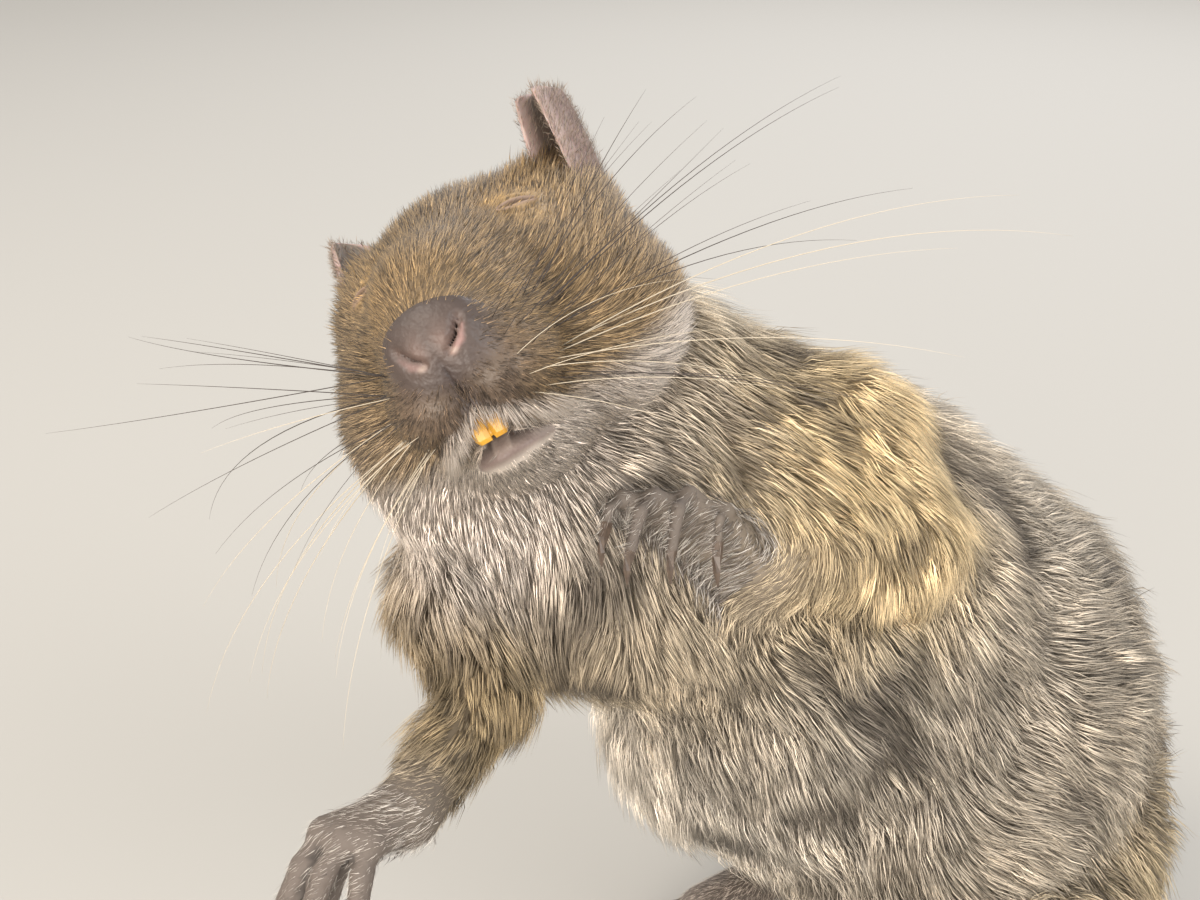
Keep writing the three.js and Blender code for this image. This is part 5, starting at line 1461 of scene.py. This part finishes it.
def whisker(root, first_way, last_way, length):
    """Middle line of a whisker: it sets out one way and bends to another, and shortens where the box ends."""
    for scale in (1, 0.85, 0.7, 0.55, 0.4, 0.3, 0.2):
        t = np.linspace(0, 1, WHISKER_STEPS)[:, None]
        heading = first_way * (1 - t) + last_way * t
        steps = np.vstack([at(0, 0, 0), heading[:-1]])
        path = root + np.cumsum(steps, 0) * length * scale / (WHISKER_STEPS - 1)
        place = path + SHIFT / MM
        if (place > box_low).all() and (place < box_high).all():
            return path
    return path


def round_tube(path, radii):
    """A closed round tube along a path, with a point at each end."""
    heading = unit(np.gradient(path, axis=0))
    side = unit(np.cross(heading, at(0.3, 0.2, 0.93)))
    other = np.cross(heading, side)
    a = 2 * np.pi * np.arange(WHISKER_SIDES) / WHISKER_SIDES
    ring = np.cos(a)[None, :, None] * side[:, None] + np.sin(a)[None, :, None] * other[:, None]
    points = (path[:, None] + radii[:, None, None] * ring).reshape(-1, 3)
    points = np.vstack([points, path[0], path[-1]])
    return points, facing_out(points, tube_faces(len(path), WHISKER_SIDES))


whisker_points, whisker_faces, whisker_tints, total = [], [], [], 0
for (sign, row, back_share), place in zip(whisker_rows, whisker_roots):
    heading = at(sign, -0.25 + 0.8 * back_share + rng.normal(0, 0.18), 0.6 - 0.28 * row + rng.normal(0, 0.14))
    first = unit(heading[None])[0]
    last = unit((first + at(0, 0.55, -0.1 - 0.12 * row + rng.normal(0, 0.15)))[None])[0]
    size = (18 + 44 * back_share) * rng.uniform(0.7, 1.1)
    path = whisker(place, first @ HEAD_TURN, last @ HEAD_TURN, size)
    radii = 0.05 * (0.7 + 0.5 * back_share) * (1 - np.linspace(0, 1, WHISKER_STEPS) ** 1.3 * 0.85)
    points, faces = round_tube(path, radii)
    shade = linear(WHISKER_HEX[rng.random() < (0, 0.05, 0.35, 0.7, 0.7)[row]])
    fade = np.repeat(np.linspace(0, 1, WHISKER_STEPS), WHISKER_SIDES)
    tint = shade * (1 + 0.5 * np.append(fade, [0, 1]))[:, None]
    whisker_points.append(points)
    whisker_faces.append(faces + total)
    whisker_tints.append(np.minimum(tint, 0.85))
    total += len(points)
whiskers = make_mesh("whiskers", np.vstack(whisker_points), np.vstack(whisker_faces), hair,
                     np.vstack(whisker_tints))
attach(whiskers, "root")

# %% [markdown]
# ## Eyes, claws and teeth
# These three stay as they were packed. An eye is wet and almost black. A claw is horn, laid down in layers
# along its length and darker at the root in life; here its material is only streaked. A degu's front teeth
# are orange, from the iron and pigment in their enamel.

# %% Materials for the imported pieces
# The film of water on an eye gives it a sharp glint.
eye_wet, _, _ = new_material("wet_dark_eye", Base_Color=colour4("#120c09"), Roughness=0.06, IOR=1.376,
                             Coat_Weight=0.6)
# Horn is polished by use. Its streaks are about 0.7 mm wide, 1500 to the metre.
horn = streaked("claw_horn", 1500, "#2c221d", "#6b5a4c", Roughness=0.38, IOR=1.54)
# Worn enamel has a satin shine, and its orange is clouded about every 1.4 mm, 700 to the metre.
enamel = streaked("orange_enamel", 700, "#a06c10", "#cb9a24", Roughness=0.45, IOR=1.62)
for made in bpy.data.objects:
    kind = made.name.split("_")[0]
    if made.type == "MESH" and kind in ("eye", "claw", "incisor"):
        made.data.materials.clear()
        made.data.materials.append({"eye": eye_wet, "claw": horn, "incisor": enamel}[kind])

# %% [markdown]
# The two teeth touch along one thin line in life, so a narrow band of enamel closes the slit between them.

# %% Close the seam between the teeth
teeth = np.concatenate([np.array([made.matrix_world @ v.co for v in made.data.vertices])
                        for made in bpy.data.objects if made.name.startswith("incisor")])
teeth = to_head((teeth - SHIFT) / MM)
SEAM_HALF, SEAM_SUNK, SEAM_DEEP, SEAM_LEVELS = 0.22, 0.12, 1.0, 12
levels = np.linspace(teeth[:, 2].min() + 0.35, teeth[:, 2].max() - 0.35, SEAM_LEVELS)


def tooth_seam():
    """A narrow closed band just behind the teeth's front: four corners at each level, the foremost ones as
    far forward as the teeth's points, each of which is set back by 1.5 times its distance in height."""
    near = teeth[np.abs(teeth[:, 0]) < 0.7]
    front = np.array([(near[:, 1] + 1.5 * np.abs(near[:, 2] - z)).min() for z in levels])
    front = np.convolve(np.pad(front, 1, "edge"), np.ones(3) / 3, "valid") + SEAM_SUNK
    corners = [(-1, 0), (1, 0), (1, SEAM_DEEP), (-1, SEAM_DEEP)]
    points = np.array([(x * SEAM_HALF, y + deep, z) for y, z in zip(front, levels) for x, deep in corners])
    faces = [(4 * n + i, 4 * n + (i + 1) % 4, 4 * n + 4 + (i + 1) % 4, 4 * n + 4 + i)
             for n in range(SEAM_LEVELS - 1) for i in range(4)]
    last = 4 * (SEAM_LEVELS - 1)
    return in_head(points), np.array(faces + [(3, 2, 1, 0), (last, last + 1, last + 2, last + 3)])


seam_points, seam_faces = tooth_seam()
seam = make_mesh("tooth_seam", seam_points, seam_faces, enamel)
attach(seam, "root")
print("teeth:", len(teeth), "points; seam levels:", SEAM_LEVELS)

# %% Count the triangles and finish
total_triangles = sum(len(o.data.loop_triangles) or sum(len(f.vertices) - 2 for f in o.data.polygons)
                      for o in bpy.data.objects if o.type == "MESH" and not o.hide_render)
print("triangles in all:", total_triangles)
